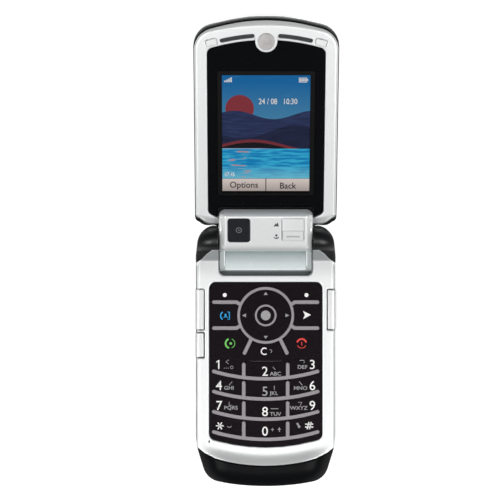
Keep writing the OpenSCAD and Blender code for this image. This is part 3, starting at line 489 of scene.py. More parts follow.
KEYS = [n for n in nodes if n.startswith("key_") or n.endswith("_key")]
for n in KEYS + ["soft_key_left", "soft_key_right", "nav_ring", "select_key"]:
    NODE_LOOKS.setdefault(n, KEY_FILM)
ROUND = {"front_housing": 0.35, "rear_housing": 0.3, "chin_cover": 0.3, "camera_block": 0.45,
         "battery_cover": 0.2, "keymat": 0.22, "flip_inner_housing": 0.25, "flip_outer_cover": 0.3,
         "display_window": 0.1, "nav_ring": 0.15, "select_key": 0.2, "volume_key": 0.4,
         "smart_key": 0.4, "voice_key": 0.4, "macro_switch": 0.12, "disc_cap": 0.15,
         "flip_bumpers": 0.2, "video_camera_window": 0.12, "outside_window": 0.2,
         "main_camera_window": 0.12}
for n, o in nodes.items():
    o.data.materials.clear()
    o.data.materials.append(NODE_LOOKS[n])
    soften(o, ROUND.get(n, 0.06 if n in KEYS or n.startswith("soft_key") else 0))

# ---------------------------------------------------------------- shaped shells of the base


def mix_step(a, b, x):
    t = max(0.0, min(1.0, (x - a) / (b - a)))
    return t * t * (3 - 2 * t)


def base_loop():
    bow_x, end = HALF_W - 11.2, HINGE_Y + 5
    return rounded(mirrored([
        bow_corner(bow_x, -HALF_L, 98, -1),
        (HALF_W - 4.2, bow_y(bow_x, HALF_W - 4.2, -HALF_L, 98, -1), 7), (HALF_W, -33.7, 25),
        (HALF_W, 37.5, 15), (HALF_W - 1.6, end, 7.5)]), 24)


def resample(points, n):
    """n + 1 points at even steps along an open line."""
    runs = [0.0]
    for a, b in zip(points, points[1:]):
        runs.append(runs[-1] + math.hypot(b[0] - a[0], b[1] - a[1]))
    out, k = [], 0
    for i in range(n + 1):
        d = runs[-1] * i / n
        while k < len(points) - 2 and runs[k + 1] < d:
            k += 1
        t = (d - runs[k]) / max(1e-9, runs[k + 1] - runs[k])
        out.append(tuple(points[k][j] + (points[k + 1][j] - points[k][j]) * t for j in (0, 1)))
    return out


def open_line(corners):
    """A line through corners, rounded where a corner gives a radius."""
    out = [tuple(corners[0][:2])]
    for a, c, b in zip(corners, corners[1:], corners[2:]):
        out += corner_arc(a, c, b, 12)
    return out + [tuple(corners[-1][:2])]


def chain(lines, counts):
    """Lines joined end to end, each cut into its own number of even steps."""
    out = []
    for line, n in zip(lines, counts):
        out += resample(line, n)[:-1]
    return out + [lines[-1][-1]]


def both_halves(half):
    """A line from the right to the left, given its right half, which ends at x 0."""
    return half + [(-x, y) for x, y in reversed(half[:-1])]


def line_y(line, x):
    """The height at x of a line whose points run from left to right."""
    for a, b in zip(line, line[1:]):
        if x <= b[0]:
            return a[1] + (b[1] - a[1]) * max(0.0, (x - a[0]) / (b[0] - a[0]))
    return line[-1][1]


def line_distance(p, line):
    best = 1e9
    for a, b in zip(line, line[1:]):
        ex, ey = b[0] - a[0], b[1] - a[1]
        t = max(0.0, min(1.0, ((p[0] - a[0]) * ex + (p[1] - a[1]) * ey) / max(1e-12, ex * ex + ey * ey)))
        best = min(best, math.hypot(p[0] - a[0] - ex * t, p[1] - a[1] - ey * t))
    return best


def swell(d, reach, power):
    t = max(0.0, min(1.0, d / reach))
    return (1 - (1 - t) ** power) ** (1 / power)


def sheet(inner, outer, height, low, rim=0.25, spread=None, across=True):
    """A raised surface between two lines of as many points, with walls down to low. height(x, y, d)
    gives its top, d being the distance to the outer line. The rim rounds its edge along the inner one.
    With across, distances are measured along the rows between the lines."""
    bm = bmesh.new()
    fine = resample(outer, 200)
    spread = spread or [0.5 - 0.5 * math.cos(math.pi * j / 24) for j in range(25)]
    grid = []
    for p, q in zip(inner, outer):
        row, width = [], math.hypot(q[0] - p[0], q[1] - p[1])
        for t in spread:
            x, y = (p[k] + (q[k] - p[k]) * t for k in (0, 1))
            out_d = width * (1 - t) if across or t == 1 else line_distance((x, y), fine)
            in_d = width * t if across else line_distance((x, y), inner)
            z = height(x, y, out_d)
            if rim:
                z -= rim * (1 - min(1.0, in_d / rim)) ** 2
            row.append(bm.verts.new((x, y, max(z, low + 0.01))))
        grid.append(row)
    for r, q in zip(grid, grid[1:]):
        for j in range(len(spread) - 1):
            bm.faces.new((r[j], r[j + 1], q[j + 1], q[j]))
    edge = [r[0] for r in grid] + grid[-1][1:] + [r[-1] for r in reversed(grid[:-1])] + grid[0][-2:0:-1]
    foot = [bm.verts.new((v.co.x, v.co.y, low)) for v in edge]
    join_rings(bm, edge, foot)
    bmesh.ops.triangle_fill(bm, use_beauty=True, edges=[bm.edges.get((a, b)) for a, b in
                                                        zip(foot, foot[1:] + foot[:1])])
    bmesh.ops.remove_doubles(bm, verts=bm.verts, dist=0.002)
    bmesh.ops.dissolve_degenerate(bm, edges=bm.edges, dist=0.001)
    return bm


def dome(inner, outer, height, low, rim=0.25, n=72):
    return sheet(resample(inner, n), resample(outer, n), height, low, rim,
                 [1 - (1 - j / 36) ** 1.7 for j in range(37)], across=False)


def node_copy(node):
    """A welded copy of a CAD node's mesh, in millimetres."""
    bm = bmesh.new()
    bm.from_mesh(nodes[node].data)
    bmesh.ops.remove_doubles(bm, verts=bm.verts, dist=1e-6)
    bm.transform(Matrix.Scale(1 / MM, 4))
    return bm


def flip_copy(node):
    """A node's mesh in the flip's own frame."""
    bm = node_copy(node)
    bm.transform((Matrix.Scale(1 / MM, 4) @ FLIP).inverted())
    return bm


def prism(loop, z0, z1):
    bm = bmesh.new()
    low, top = add_ring(bm, loop, z0), add_ring(bm, loop, z1)
    join_rings(bm, low, top)
    bmesh.ops.triangulate(bm, faces=[bm.faces.new(low[::-1]), bm.faces.new(top)])
    bmesh.ops.recalc_face_normals(bm, faces=bm.faces)
    return bm


def mesh_object(name, bm):
    me = bpy.data.meshes.new(name)
    bm.to_mesh(me)
    bm.free()
    return link_object(name, me)


def applied(o):
    """The mesh of o with its modifiers applied."""
    out = bmesh.new()
    out.from_mesh(evaluated(o))
    return out


def cut_away(bm, tools):
    """bm less the tools, each a closed mesh."""
    body = mesh_object("cut", bm)
    cutters = [mesh_object("tool", t) for t in tools]
    for c in cutters:
        modify(body, "cut", "BOOLEAN", object=c, operation="DIFFERENCE", solver="EXACT")
    out = applied(body)
    for o in cutters + [body]:
        bpy.data.objects.remove(o)
    return out


def voxels(bm, size, rounds):
    """bm rebuilt from voxels of that size and smoothed, which rounds all its edges a little."""
    o = mesh_object("voxels", bm)
    modify(o, "voxels", "REMESH", mode="VOXEL", voxel_size=size, use_smooth_shade=True)
    modify(o, "calm", "SMOOTH", factor=0.5, iterations=rounds)
    out = applied(o)
    bpy.data.objects.remove(o)
    return out


SEAM = 5.6
OUTLINE = base_loop()
CHIN_SIDE = [(18.9, -38.76), (23.1, -36.8), (26.2, -34.4)]


def outline_part(keep):
    """The stretch of the outline for which keep(x, y) holds, in order."""
    n = len(OUTLINE)
    start = next(i for i in range(n) if keep(*OUTLINE[i]) and not keep(*OUTLINE[i - 1]))
    out = []
    while keep(*OUTLINE[start % n]):
        out.append(OUTLINE[start % n])
        start += 1
    return out


def ear_height(x, y, d):
    """The ear's round top, blended into the slope that meets the shoulder."""
    barrel = HINGE_Z + 4.6 * (1 - min(1.0, abs(y - HINGE_Y) / 4.75) ** 2.3) ** (1 / 2.3)
    slope = BASE_T + 2.3 * (y - 35.6) / 4.2
    top = barrel + 0.6 * math.log(1 + math.exp((slope - barrel) / 0.6)) * (1 - mix_step(40.5, HINGE_Y, y))
    return top - 2.5 * (1 - min(1.0, d / 6)) ** 2 - 0.35 * (1 - swell(d, 0.35, 2))


ear_out = outline_part(lambda x, y: x > 17.86 and y > 34.9)
ear_in = [(26.45, 34.95), (24.6, 36.0), (22.1, 38.5), (20.2, 39.8), (17.86, 39.8), (17.86, 49.28)]
if ear_out[0][1] > ear_out[-1][1]:
    ear_out.reverse()
ear_out = [ear_in[0]] + ear_out + [ear_in[-1]]
for side, name in ((1, "ear_right"), (-1, "ear_left")):
    bm = dome(ear_in, ear_out, ear_height, SEAM)
    warp(bm, lambda x, y, z: (x, min(y, 47.95) if z < SEAM + 0.1 else y, z))
    bore = prism(circle(0, 0, 2.5, 40), 17.0, 21.0)
    bore.transform(Matrix.Translation((0, HINGE_Y, HINGE_Z)) @ Matrix.Rotation(math.pi / 2, 4, "Y"))
    bm = cut_away(bm, [bore, prism(box_loop(17.0, 19.5, 48.15, 50), 5, 10.95)])
    if side < 0:
        bmesh.ops.scale(bm, vec=(-1, 1, 1), verts=bm.verts)
    finish_mesh(name, bm, EAR_BLACK, "base")
rear = finish_mesh("rear_shell", cut_away(node_copy("rear_housing"), [
    prism(box_loop(17.7, 30, 30, 60), SEAM, 20), prism(box_loop(-30, -17.7, 30, 60), SEAM, 20)]), BLACK_SATIN,
    "base",
    stands_for=["rear_housing"], smooth=False)
soften(rear, 0.14)


def chin_rise(x):
    return 1.8 * (1 - mix_step(14, 25.5, abs(x)))


def chin_height(x, y, d):
    share = mix_step(12, 24, abs(x))
    fall = (2.6 + 1.2 * share) * (1 - min(1.0, d / 6.5)) ** 2
    return BASE_T + chin_rise(x) - fall - 0.35 * (1 - swell(d, 0.35, 2))


chin_in = ([(-x, y) for x, y in reversed(CHIN_SIDE)]
           + [(x, smile(CHIN_Y, x)) for x in [-18 + 1.5 * k for k in range(25)]] + CHIN_SIDE)
chin_out = outline_part(lambda x, y: y < -34.4)
if chin_out[0][0] > chin_out[-1][0]:
    chin_out.reverse()
chin_out = [chin_in[0]] + chin_out + [chin_in[-1]]
chin_under = finish_mesh("chin_under", cut_away(node_copy("chin_cover"), [
    prism(box_loop(-40, 40, -60, 0), SEAM, 20)]),
                         CHIN_BLACK, "base", smooth=False)
soften(chin_under, 0.3)
finish_mesh("chin_cap", dome(chin_in, chin_out, chin_height, SEAM, rim=0.3, n=110), CHIN_BLACK, "base",
                   stands_for=["chin_cover"])

# The silver face: the CAD shell with its edges rounded, and the soft rises to the end cap and the ears


def face_shape(x, y, z):
    if z < 10.4:
        return (x, y, z)
    share = mix_step(10.4, 11.2, z)
    gap = y - smile(CHIN_Y, min(abs(x), 60))
    t = max(0.0, min(1.0, (4.1 - gap) / 4.1))
    t = (t / 2 - 1.3 / (4 * math.pi) * math.sin(2 * math.pi * t / 1.3)) / 0.6027
    t -= 0.12 * math.exp(-((gap - 4.3) / 1.5) ** 2)
    flat = min(z, BASE_T) if y < -30 else z
    lift = chin_rise(x) * t if y < -30 else 0.0
    return (x, y, z + ((flat + lift) - z) * share)


def draw_in(x, y, z):
    """The silver wall stands a little inside the black one below it."""
    x, y, z = face_shape(x, y, z)
    share = mix_step(25.2, 26.4, abs(x)) * mix_step(-36, -31, y) * (1 - mix_step(33, 38, y))
    return (x - math.copysign(0.38 * share, x), y, z)


face = node_copy("front_housing")
POCKET_X, POCKET_Y, POCKET_FLOOR, POCKET_R = 17.6, 30.0, 6.4, 2.3
face = voxels(cut_away(face, [prism(box_loop(-17.2, 17.2, POCKET_Y + 0.45, 43, 2.2), 3.4, 20)]), 0.2, 3)
warp(face, draw_in)
finish_mesh("front_shell", face, SHELL_SILVER_PAINTED_SHADE, "base", stands_for=["front_housing"])


def pocket_end(x):
    over = abs(x) - (POCKET_X - POCKET_R)
    drop = POCKET_R - math.sqrt(max(0.0, POCKET_R ** 2 - over * over)) if over > 0 else 0.0
    return POCKET_Y + 0.1 + drop


def pocket_z(x, y, d):
    """The pocket's floor, which falls a little under the camera block, and its three slanting walls."""
    bottom = POCKET_FLOOR - 0.45 * (max(0.0, y - 33.6) / 6.0) ** 2
    side = POCKET_FLOOR + (abs(x) - POCKET_X + 2.4) * 2.8 / 2.4
    wall = POCKET_FLOOR + (POCKET_Y + 2.2 - y) * 5.2 / 2.2
    k = 0.14
    top = max(bottom, side, wall)
    top += k * math.log(sum(math.exp((z - top) / k) for z in (bottom, side, wall))) + 0.03
    return min(top, HINGE_Z - math.sqrt(max(0.0, 5.7 ** 2 - (y - HINGE_Y) ** 2)))


reach = [17.5 * math.sin(math.pi / 2 * i / 45) for i in range(-45, 46)]
liner = sheet([(x, 41.5) for x in reach], [(x, pocket_end(x)) for x in reach], pocket_z, 3.6, rim=0,
              spread=[1 - (1 - j / 60) ** 1.7 for j in range(61)])
finish_mesh("pocket_liner", liner, POCKET_SILVER_PAINTED_SHADE, "base")
# Painted highlight: a white strip along the pocket floor's edge, round its near corners.
highlight_path = corner_arc((-15.65, 39), (-15.65, 32.5, 1.2), (0, 32.5), 8)
highlight_path = [(-15.65, 40.5)] + highlight_path + [(-x, y) for x, y in reversed(highlight_path)] + [(15.65, 40.5)]
prints("pocket_edge_painted_highlight", [ribbon(highlight_path, 0.42)], PAINTED_HIGHLIGHT_WHITE, "base", POCKET_FLOOR + 0.02, t=0.16)
# Painted shade: the pocket's side walls in a plain silver a little darker than the face, without the floor's
# gradient.
POCKET_SIDE_PAINTED_SHADE = surface("pocket side with painted shade", (206, 212, 212), (212, 218, 218), rough=(0.4, 0.46), specular=0.3,
                      metallic=0.2, bump=0.02)
for sx, name in ((1, "pocket_side_right"), (-1, "pocket_side_left")):
    rows = [32.0 + 9.3 * k / 12 for k in range(13)]
    finish_mesh(name, sheet([(sx * 15.45, y) for y in rows], [(sx * 17.5, y) for y in rows],
                            lambda x, y, d: pocket_z(x, y, d) + 0.05 * min(1.0, (y - 32.0) / 0.3), 5.0, rim=0,
                            spread=[j / 8 for j in range(9)]), POCKET_SIDE_PAINTED_SHADE, "base")
# Painted highlights: white strips up the pocket's side walls.
prints("pocket_side_painted_highlights", [[(sx * 15.5, 33.6), (sx * 16.15, 33.6), (sx * 16.2, 34.4), (sx * 16.2, 40.4),
                              (sx * 15.4, 40.4), (sx * 15.4, 34.4)] for sx in (-1, 1)], PAINTED_HIGHLIGHT_WHITE, "base",
       POCKET_FLOOR + 0.7, t=0.1)

# ---------------------------------------------------------------- shells of the flip


NOTCH_X = BLOCK_W / 2 + 0.12
SIDE_X, RIM_X = FLIP_W / 2 - 0.32, FLIP_W / 2 - 0.02
BAND = [(NOTCH_X, 8.0), (20.2, 8.0), (21.5, 8.3), (23.6, 8.6), (25.3, 8.9), (27, 9.3)]
WING_EDGE = [(NOTCH_X, 4.75), (21.2, 4.8), (22.6, 5.2), (24.5, 6.5), (26.3, 8.2)]
CREASE_U, CREASE_R = 81.5, 88.0
SEAT_R = DISC_R + 0.95


def wing_share(x, u):
    return 1 - mix_step(24.6, 26.2, x) if u < 10 else 0.0


def face_w(x, u, d):
    """Height of the flip's silver face: it falls to a broad bevel at the far end and to a facet on the
    wings, and is rounded along its edge."""
    x = abs(x)
    over = max(0.0, u - CREASE_U + x * x / (2 * CREASE_R))
    w = INNER_W - 0.78 * (math.hypot(over, 0.35) - 0.35)
    share = wing_share(x, u)
    if share:
        band = line_y(BAND, x)
        w -= 2.0 * share * max(0.0, min(1.0, (band - u) / (band - line_y(WING_EDGE, x))))
    edge = 0.3 + 0.8 * (1 - share) * (1 - mix_step(0.0, 1.2, over))
    return w - edge * (1 - swell(d, edge, 2))


def rim_w(x, u, d):
    return face_w(x, u, 0.0) - 0.06 - 0.25 * (1 - swell(d, 0.25, 2))


def end_line(side_x, end):
    """The right half of the flip's far end, from the side to the middle."""
    side_u = bow_y(19, FLIP_W / 2, end, 78, 1)
    loop = rounded(mirrored([bow_corner(19, end, 78, 1), (side_x, side_u, 8), (side_x, 60, 0)]), 24)
    right = [p for p in loop if p[0] > 0.2 and p[1] > 60.1]
    if right[0][1] > right[-1][1]:
        right.reverse()
    return [(side_x, 70)] + [p for p in right if p[1] > 70.1] + [(0, end)]


def droop(x, u, w=SEAM_W):
    """The far end's corners lie a little lower than its bow, and the more so towards the back."""
    x = abs(x)
    front = 0.12 + 0.3 * mix_step(4, 22, x)
    back = 0.12 + 0.98 * mix_step(0, 21, x) - 0.35 * mix_step(24, 26.7, x)
    return u - (front + (back - front) * mix_step(3.6, 6.6, -w)) * mix_step(68, 78, u)


def parted(line, x):
    """A line that runs towards the middle, parted where it passes x."""
    k = next(i for i, p in enumerate(line) if p[0] < x)
    return line[:k + 1], line[k:]


COUNTS = (26, 40, 50, 22)
seat_line = [(SEAT_R * math.cos(math.radians(a)), DISC_U + SEAT_R * math.sin(math.radians(a)))
             for a in [8 - 98 * k / 24 for k in range(25)]]
window_arc = rounded(mirrored([bow_corner(18, WINDOW_TOP, BOW_R, 1),
                               (WINDOW_W / 2, bow_y(18, WINDOW_W / 2, WINDOW_TOP, BOW_R, 1), 2.5),
                               (WINDOW_W / 2, 60, 0)]), 24)
window_right = sorted([p for p in window_arc if p[0] > SEAT_R and p[1] > 70.1], key=lambda p: -p[0] + p[1])
window_line = chain([open_line([(NOTCH_X, 7.7), (WINDOW_W / 2, 9.75, 2.2), (WINDOW_W / 2, 12.5)]),
                     [(WINDOW_W / 2, 12.5), (WINDOW_W / 2, 70)],
                     [(WINDOW_W / 2, 70)] + window_right + [seat_line[0]], seat_line], COUNTS)


def outside_line(wing, side_x, end):
    far, mid = parted([(x, droop(x, u)) for x, u in end_line(side_x, end)], 5.0)
    return chain([open_line(wing + [(side_x, 12.5)]), [(side_x, 12.5), (side_x, 70)], far, mid], COUNTS)


silver_line = outside_line([(NOTCH_X, 4.85), (22.3, 4.9, 4.5), (SIDE_X, 8.5, 1.5)], SIDE_X, FLIP_L - 1.0)
rim_line = outside_line([(NOTCH_X, 4.35), (20.4, 4.3, 3), (23.4, 4.0, 4), (RIM_X, 7.1, 2.2)], RIM_X,
                        FLIP_L - 0.5)
SLOTS = [arc_bar(5.0, 16.25, 78.0, 1.5, -1)]
SLOTS.append([(-x, y) for x, y in reversed(SLOTS[0])])

inner = sheet(both_halves(window_line), both_halves(silver_line), face_w, SEAM_W + 0.05)
TURN = math.radians(14)
plug_seats = [[(sx * (20 + x * math.cos(TURN) + u * math.sin(TURN)),
                75.4 - x * math.sin(TURN) + u * math.cos(TURN))
               for x, u in box_loop(-2.2, 2.2, -1.3, 1.3, 0.5)] for sx in (-1, 1)]
inner = cut_away(inner, [prism(loop, -9, 9) for loop in SLOTS + [circle(0, DISC_U, DISC_R + 0.05, 64)]]
                 + [prism(loop, -0.75, 9) for loop in plug_seats])
finish_mesh("flip_inner_shell", inner, SILVER, "flip", stands_for=["flip_inner_housing"])


cover = finish_mesh("flip_cover_shell", warp(flip_copy("flip_outer_cover"), lambda x, u,
                                             w: (x, droop(x, u, w), w)),
                    COVER_GREY, "flip", stands_for=["flip_outer_cover"], smooth=False)
soften(cover, 0.3)


def tuck(x, u, w):
    """The rim's foot drawn in to the cover below it."""
    return (x, max(u, 3.05 + (abs(x) - NOTCH_X) * 0.6) if w < SEAM_W and u < 9 else u, w)


rim = sheet(both_halves(silver_line), both_halves(rim_line), rim_w, SEAM_W - 0.02, rim=0,
            spread=[j / 8 for j in range(9)])
finish_mesh("flip_cover_rim", warp(rim, tuck), RIM_BLACK, "flip")
# Painted shade: a grey band laid on the wings' silver along their lower edge.
band_top = open_line([(NOTCH_X, 5.5), (22.2, 5.5, 4.5), (SIDE_X - 0.2, 8.85, 1.5)])
band_low = open_line([(NOTCH_X, 4.92), (22.3, 4.97, 4.5), (SIDE_X - 0.05, 8.5, 1.5)])
for sx, name in ((1, "wing_shade_band_right"), (-1, "wing_shade_band_left")):
    edge = sheet([(sx * x, u) for x, u in resample(band_low, 40)],
                 [(sx * x, u) for x, u in resample(band_top, 40)],
                 lambda x, u, d: face_w(x, u, 2.0) + 0.06, -3.0, rim=0, spread=[j / 6 for j in range(7)])
    finish_mesh(name, edge, WING_PAINTED_SHADE_GREY, "flip")
prints("earpiece_mesh", [offset(loop, -0.3) for loop in SLOTS], SLOT_GREY, "flip", -1.1, 0.3)

# ---------------------------------------------------------------- camera block

VIDEO_X, VIDEO_U, VIDEO_W, VIDEO_L = -10.1, 4.62, 8.2, 9.2
MACRO_X, MACRO_U, MACRO_W, MACRO_L, MACRO_TRAVEL = 10.2, 0.55, 7.9, 3.9, 4.8
BLOCK_CORNER = 2.6


def block_end(x):
    over = abs(x) - (BLOCK_W / 2 - BLOCK_CORNER)
    return BLOCK_L - (BLOCK_CORNER - math.sqrt(BLOCK_CORNER ** 2 - over * over) if over > 0 else 0.0)


def block_w(x, u, d):
    """Height of the block: flat, with round bevels at its sides and far end, its barrel in front, and
    a shallow scoop in either side."""
    side = BLOCK_W / 2 - abs(x)
    w = min(BLOCK_H, math.sqrt(max(0.0, 25 - u * u))) if u < 0 else BLOCK_H
    end = 4.2 * (1 - min(1.0, d / 2.0)) ** 3 if u > 0 else 0.0
    w -= max(2.1 * (1 - min(1.0, side / 2.3)) ** 1.15, end)
    w -= 0.4 * (1 - min(1.0, side / 0.35)) ** 2
    scoop = 0.8 * math.exp(-((side - 0.95) / 0.42) ** 2) * mix_step(3.0, 4.4, u) * (1 - mix_step(7.8, 9.2, u))
    return max(w - scoop, 0.02)


columns = [-BLOCK_W / 2 * math.cos(math.pi * i / 70) for i in range(71)]
cap = sheet([(x, -4.97) for x in columns], [(x, block_end(x)) for x in columns], block_w, 0.0, rim=0,
            spread=[0.5 - 0.5 * math.cos(math.pi * j / 44) for j in range(45)])
warp(cap, lambda x, u, w: (x, u - 0.3 * mix_step(6, 9, u) * (w < 0.02), w))
cap = cut_away(cap, [
    prism(box_loop(VIDEO_X - VIDEO_W / 2 - 0.1, VIDEO_X + VIDEO_W / 2 + 0.1, VIDEO_U - VIDEO_L / 2 - 0.1,
                   VIDEO_U + VIDEO_L / 2 + 0.1, 0.9), BLOCK_H - 0.9, 9),
    prism(box_loop(MACRO_X - MACRO_W / 2 - 0.15, MACRO_X + MACRO_W / 2 + 0.15, MACRO_U - 0.1,
                   MACRO_U + MACRO_L + MACRO_TRAVEL + 0.1, 0.5), BLOCK_H - 0.45, 9)])
finish_mesh("block_cap", cap, SILVER, "flip")
under = flip_copy("camera_block")
warp(under, lambda x, u, w: (x, u - 0.3 * (u > 8), w))
under = finish_mesh("block_under", cut_away(under, [prism(box_loop(-30, 30, -20, 40), 0.0, 30)]), SILVER,
                    "flip", stands_for=["camera_block"], smooth=False)
soften(under, 0.3)
prints("block_seal", [box_loop(-17.6, 17.6, 8.6, 12.3, 0.3)], FRAME_BLACK, "flip", -0.75, 0.3)

switch = plate(box_loop(MACRO_X - MACRO_W / 2 + 0.05, MACRO_X + MACRO_W / 2 - 0.05, MACRO_U,
                        MACRO_U + MACRO_L, 0.5),
               [], BLOCK_H + 0.3, BLOCK_H - 0.4, 0.25)
finish_mesh("macro_cap", switch, SILVER_KEY, "macro_switch", stands_for=["macro_switch"])
ridge_u = MACRO_U + MACRO_L / 2 - 0.15
finish_mesh("macro_ridge", plate(box_loop(MACRO_X - 2.7, MACRO_X + 2.7, ridge_u, ridge_u + 0.5, 0.24), [],
                                 BLOCK_H + 0.5, BLOCK_H + 0.2, 0.18), SILVER_KEY, "macro_switch")
# Painted shadow: a grey line along the lower side of the switch's ridge.
prints("macro_ridge_painted_shadow", [ribbon([(MACRO_X - 2.5, ridge_u - 0.12), (MACRO_X + 2.5, ridge_u - 0.12)], 0.2)],
       GLASS_GREY,
       "macro_switch", BLOCK_H + 0.3)
lens_u = VIDEO_U + 0.15
prints("video_lens_ring", [[circle(VIDEO_X, lens_u, 1.15), circle(VIDEO_X, lens_u, 0.78)]], GLASS_GREY,
       "flip",
       BLOCK_H - 0.05)
prints("video_lens_spot", [circle(VIDEO_X, lens_u, 0.3, 20)], GLASS_GREY, "flip", BLOCK_H - 0.05)
prints("mountain_icon", [[(2.85, 6.25), (4.85, 6.25), (4.4, 7.9), (4.0, 7.2), (3.75, 7.45), (3.3, 6.9)]],
       INK_DARK,
       "flip", BLOCK_H)
prints("flower_icon", [ribbon(arc(3.92, 2.4, 0.95, 200, 340), 0.34), circle(3.92, 2.75, 0.42, 18),
                       ribbon([(3.92, 1.5), (3.92, 2.5)], 0.24)], INK_DARK, "flip", BLOCK_H)

# ---------------------------------------------------------------- screen


def screen_material():
    """A generic picture: blue sky, a low red sun behind navy hills, a dark reef and a bright sea."""
    m, nt = new_material("screen picture")

    def val(operation, *values):
        return add_node(nt, "Math", dict(enumerate(values)), operation=operation).outputs[0]

    def mix(fac, a, b):
        a, b = (lin(c) if isinstance(c, tuple) else c for c in (a, b))
        return add_node(nt, "Mix", {0: fac, 6: a, 7: b}, data_type="RGBA").outputs[2]

    def share(a, span):
        return add_node(nt, "Clamp", {"Value": val("DIVIDE", a, span)}).outputs[0]

    def above(a, start, span):
        """0 where a is at start or under it, 1 from span over it."""
        return share(val("SUBTRACT", a, start), span)

    def below(a, edge, soft=0.006):
        """1 where a is under edge."""
        return share(val("SUBTRACT", edge, a), soft)

    def apart(a, b):
        return val("ABSOLUTE", val("SUBTRACT", a, b))

    def ridge(level, rate, start, height):
        """A waving line across the picture."""
        wave = val("SINE", val("MULTIPLY_ADD", x, rate, start))
        return val("ADD", level, val("MULTIPLY", wave, height))

    uv = add_node(nt, "UVMap", uv_map="UVMap").outputs["UV"]
    sep = add_node(nt, "SeparateXYZ", {"Vector": uv})
    x, y = sep.outputs["X"], sep.outputs["Y"]      # 0 to 1 across, 0 to 1.396 up
    stretch = add_node(nt, "Mapping", {"Vector": uv, "Scale": (0.5, 4.0, 1.0)})
    noise = add_node(nt, "TexNoise", {"Vector": stretch.outputs["Vector"], "Scale": 9.0}).outputs["Fac"]
    sky = mix(above(y, 0.7, 0.45), (64, 126, 164), (8, 98, 158))
    sky = mix(above(noise, 0.6, 1 / 2), sky, (70, 136, 180))
    sun_d = val("SQRT", val("ADD", val("POWER", val("SUBTRACT", x, 0.2), 2.0),
                            val("POWER", val("SUBTRACT", y, 0.83), 2.0)))
    picture = mix(below(sun_d, 0.165), sky, (128, 46, 55))
    haze = above(noise, 0.4, 1 / 3)
    picture = mix(below(y, ridge(0.76, 7.0, 0.6, 0.05)), picture, mix(haze, (32, 41, 76), (45, 58, 98)))
    picture = mix(below(y, ridge(0.56, 5.0, 3.6, 0.08)), picture, mix(haze, (22, 27, 54), (30, 38, 70)))
    reef = ridge(0.40, 4.0, 0.2, 0.07)
    picture = mix(below(y, reef), picture, (112, 42, 52))
    picture = mix(below(y, val("SUBTRACT", reef, 0.035)), picture, (12, 11, 18))
    sea = mix(above(noise, 0.42, 1 / 5), (10, 124, 182), (52, 176, 214))
    sea = mix(below(y, 0.16, 0.2), sea, (112, 194, 214))
    picture = mix(below(y, 0.36), picture, sea)
    glint = val("MULTIPLY", below(apart(x, 0.2), 0.15, 0.08), above(noise, 0.56, 1 / 14))
    picture = mix(val("MULTIPLY", glint, below(y, 0.35)), picture, (196, 120, 116))
    surf = val("MULTIPLY", below(apart(y, 0.357), 0.007), below(x, 0.62, 0.2))
    picture = mix(surf, picture, (150, 176, 214))
    bar = mix(above(y, -0.172, 0.16), (160, 150, 145), (216, 203, 197))
    bar = mix(below(apart(x, 0.5), 0.006, 0.002), bar, (30, 24, 26))
    bar = mix(below(y, -0.003, 0.002), (24, 30, 40), bar)
    picture = mix(below(y, 0.0, 0.002), picture, bar)
    set_inputs(nt, nt.nodes["Principled BSDF"], {
        "Emission Color": picture, "Emission Strength": 1.05, "Base Color": lin((8, 8, 10)),
        "Roughness": 0.5, "Specular IOR Level": 0.1})
    return m


SCREEN = screen_material()
BAR_H = 5.6
SCREEN_W = -2.0
MARKS_W = SCREEN_W + 0.05


def screen_piece():
    bm = bmesh.new()
    x, lo, hi = PICTURE_W / 2, PICTURE_U0 + BAR_H, PICTURE_U1
    uv = bm.loops.layers.uv.new("UVMap")
    vs = [bm.verts.new((sx * x, u, SCREEN_W + 0.04)) for sx, u in
          ((-1, PICTURE_U0), (1, PICTURE_U0), (1, hi), (-1, hi))]
    f = bm.faces.new(vs)
    v0, v1 = (PICTURE_U0 - lo) / PICTURE_W, (hi - lo) / PICTURE_W
    for loop, c in zip(f.loops, ((0, v0), (1, v0), (1, v1), (0, v1))):
        loop[uv].uv = c
    low = bmesh.ops.extrude_face_region(bm, geom=[f])
    for v in [g for g in low["geom"] if isinstance(g, bmesh.types.BMVert)]:
        v.co.z -= 0.03
    return finish_mesh("screen_picture", bm, SCREEN, "flip", smooth=False)


screen_piece()
half = PICTURE_W / 2
words("screen_label_left", "Options", -8.2, PICTURE_U0 + 2.75, 2.35, INK_BLACK, "flip", MARKS_W,
      bold=0.03, wide=0.95)
words("screen_label_right", "Back", 8.2, PICTURE_U0 + 2.75, 2.35, INK_BLACK, "flip", MARKS_W,
      bold=0.035, wide=0.95)
words("screen_date", "24 / 08   10:30", 4.4, 52.8, 2.1, INK_WHITE, "flip", MARKS_W, bold=0.03, wide=0.8)
words("screen_alarm", "07:45", -15.4, 24.6, 1.5, INK_WHITE, "flip", MARKS_W, align="LEFT", bold=0.02,
      wide=0.8)
signal = [box_loop(-15.4 + 0.75 * k, -14.85 + 0.75 * k, 60.1, 60.7 + 0.4 * k) for k in range(4)]
cell = [[box_loop(12.0, 15.0, 60.0, 61.8), box_loop(12.25, 14.75, 60.25, 61.55)],
        box_loop(15.0, 15.4, 60.5, 61.3)]
cell += [box_loop(12.4 + 0.8 * k, 13.0 + 0.8 * k, 60.4, 61.4) for k in range(3)]
prints("screen_marks", signal + cell, INK_WHITE, "flip", MARKS_W)

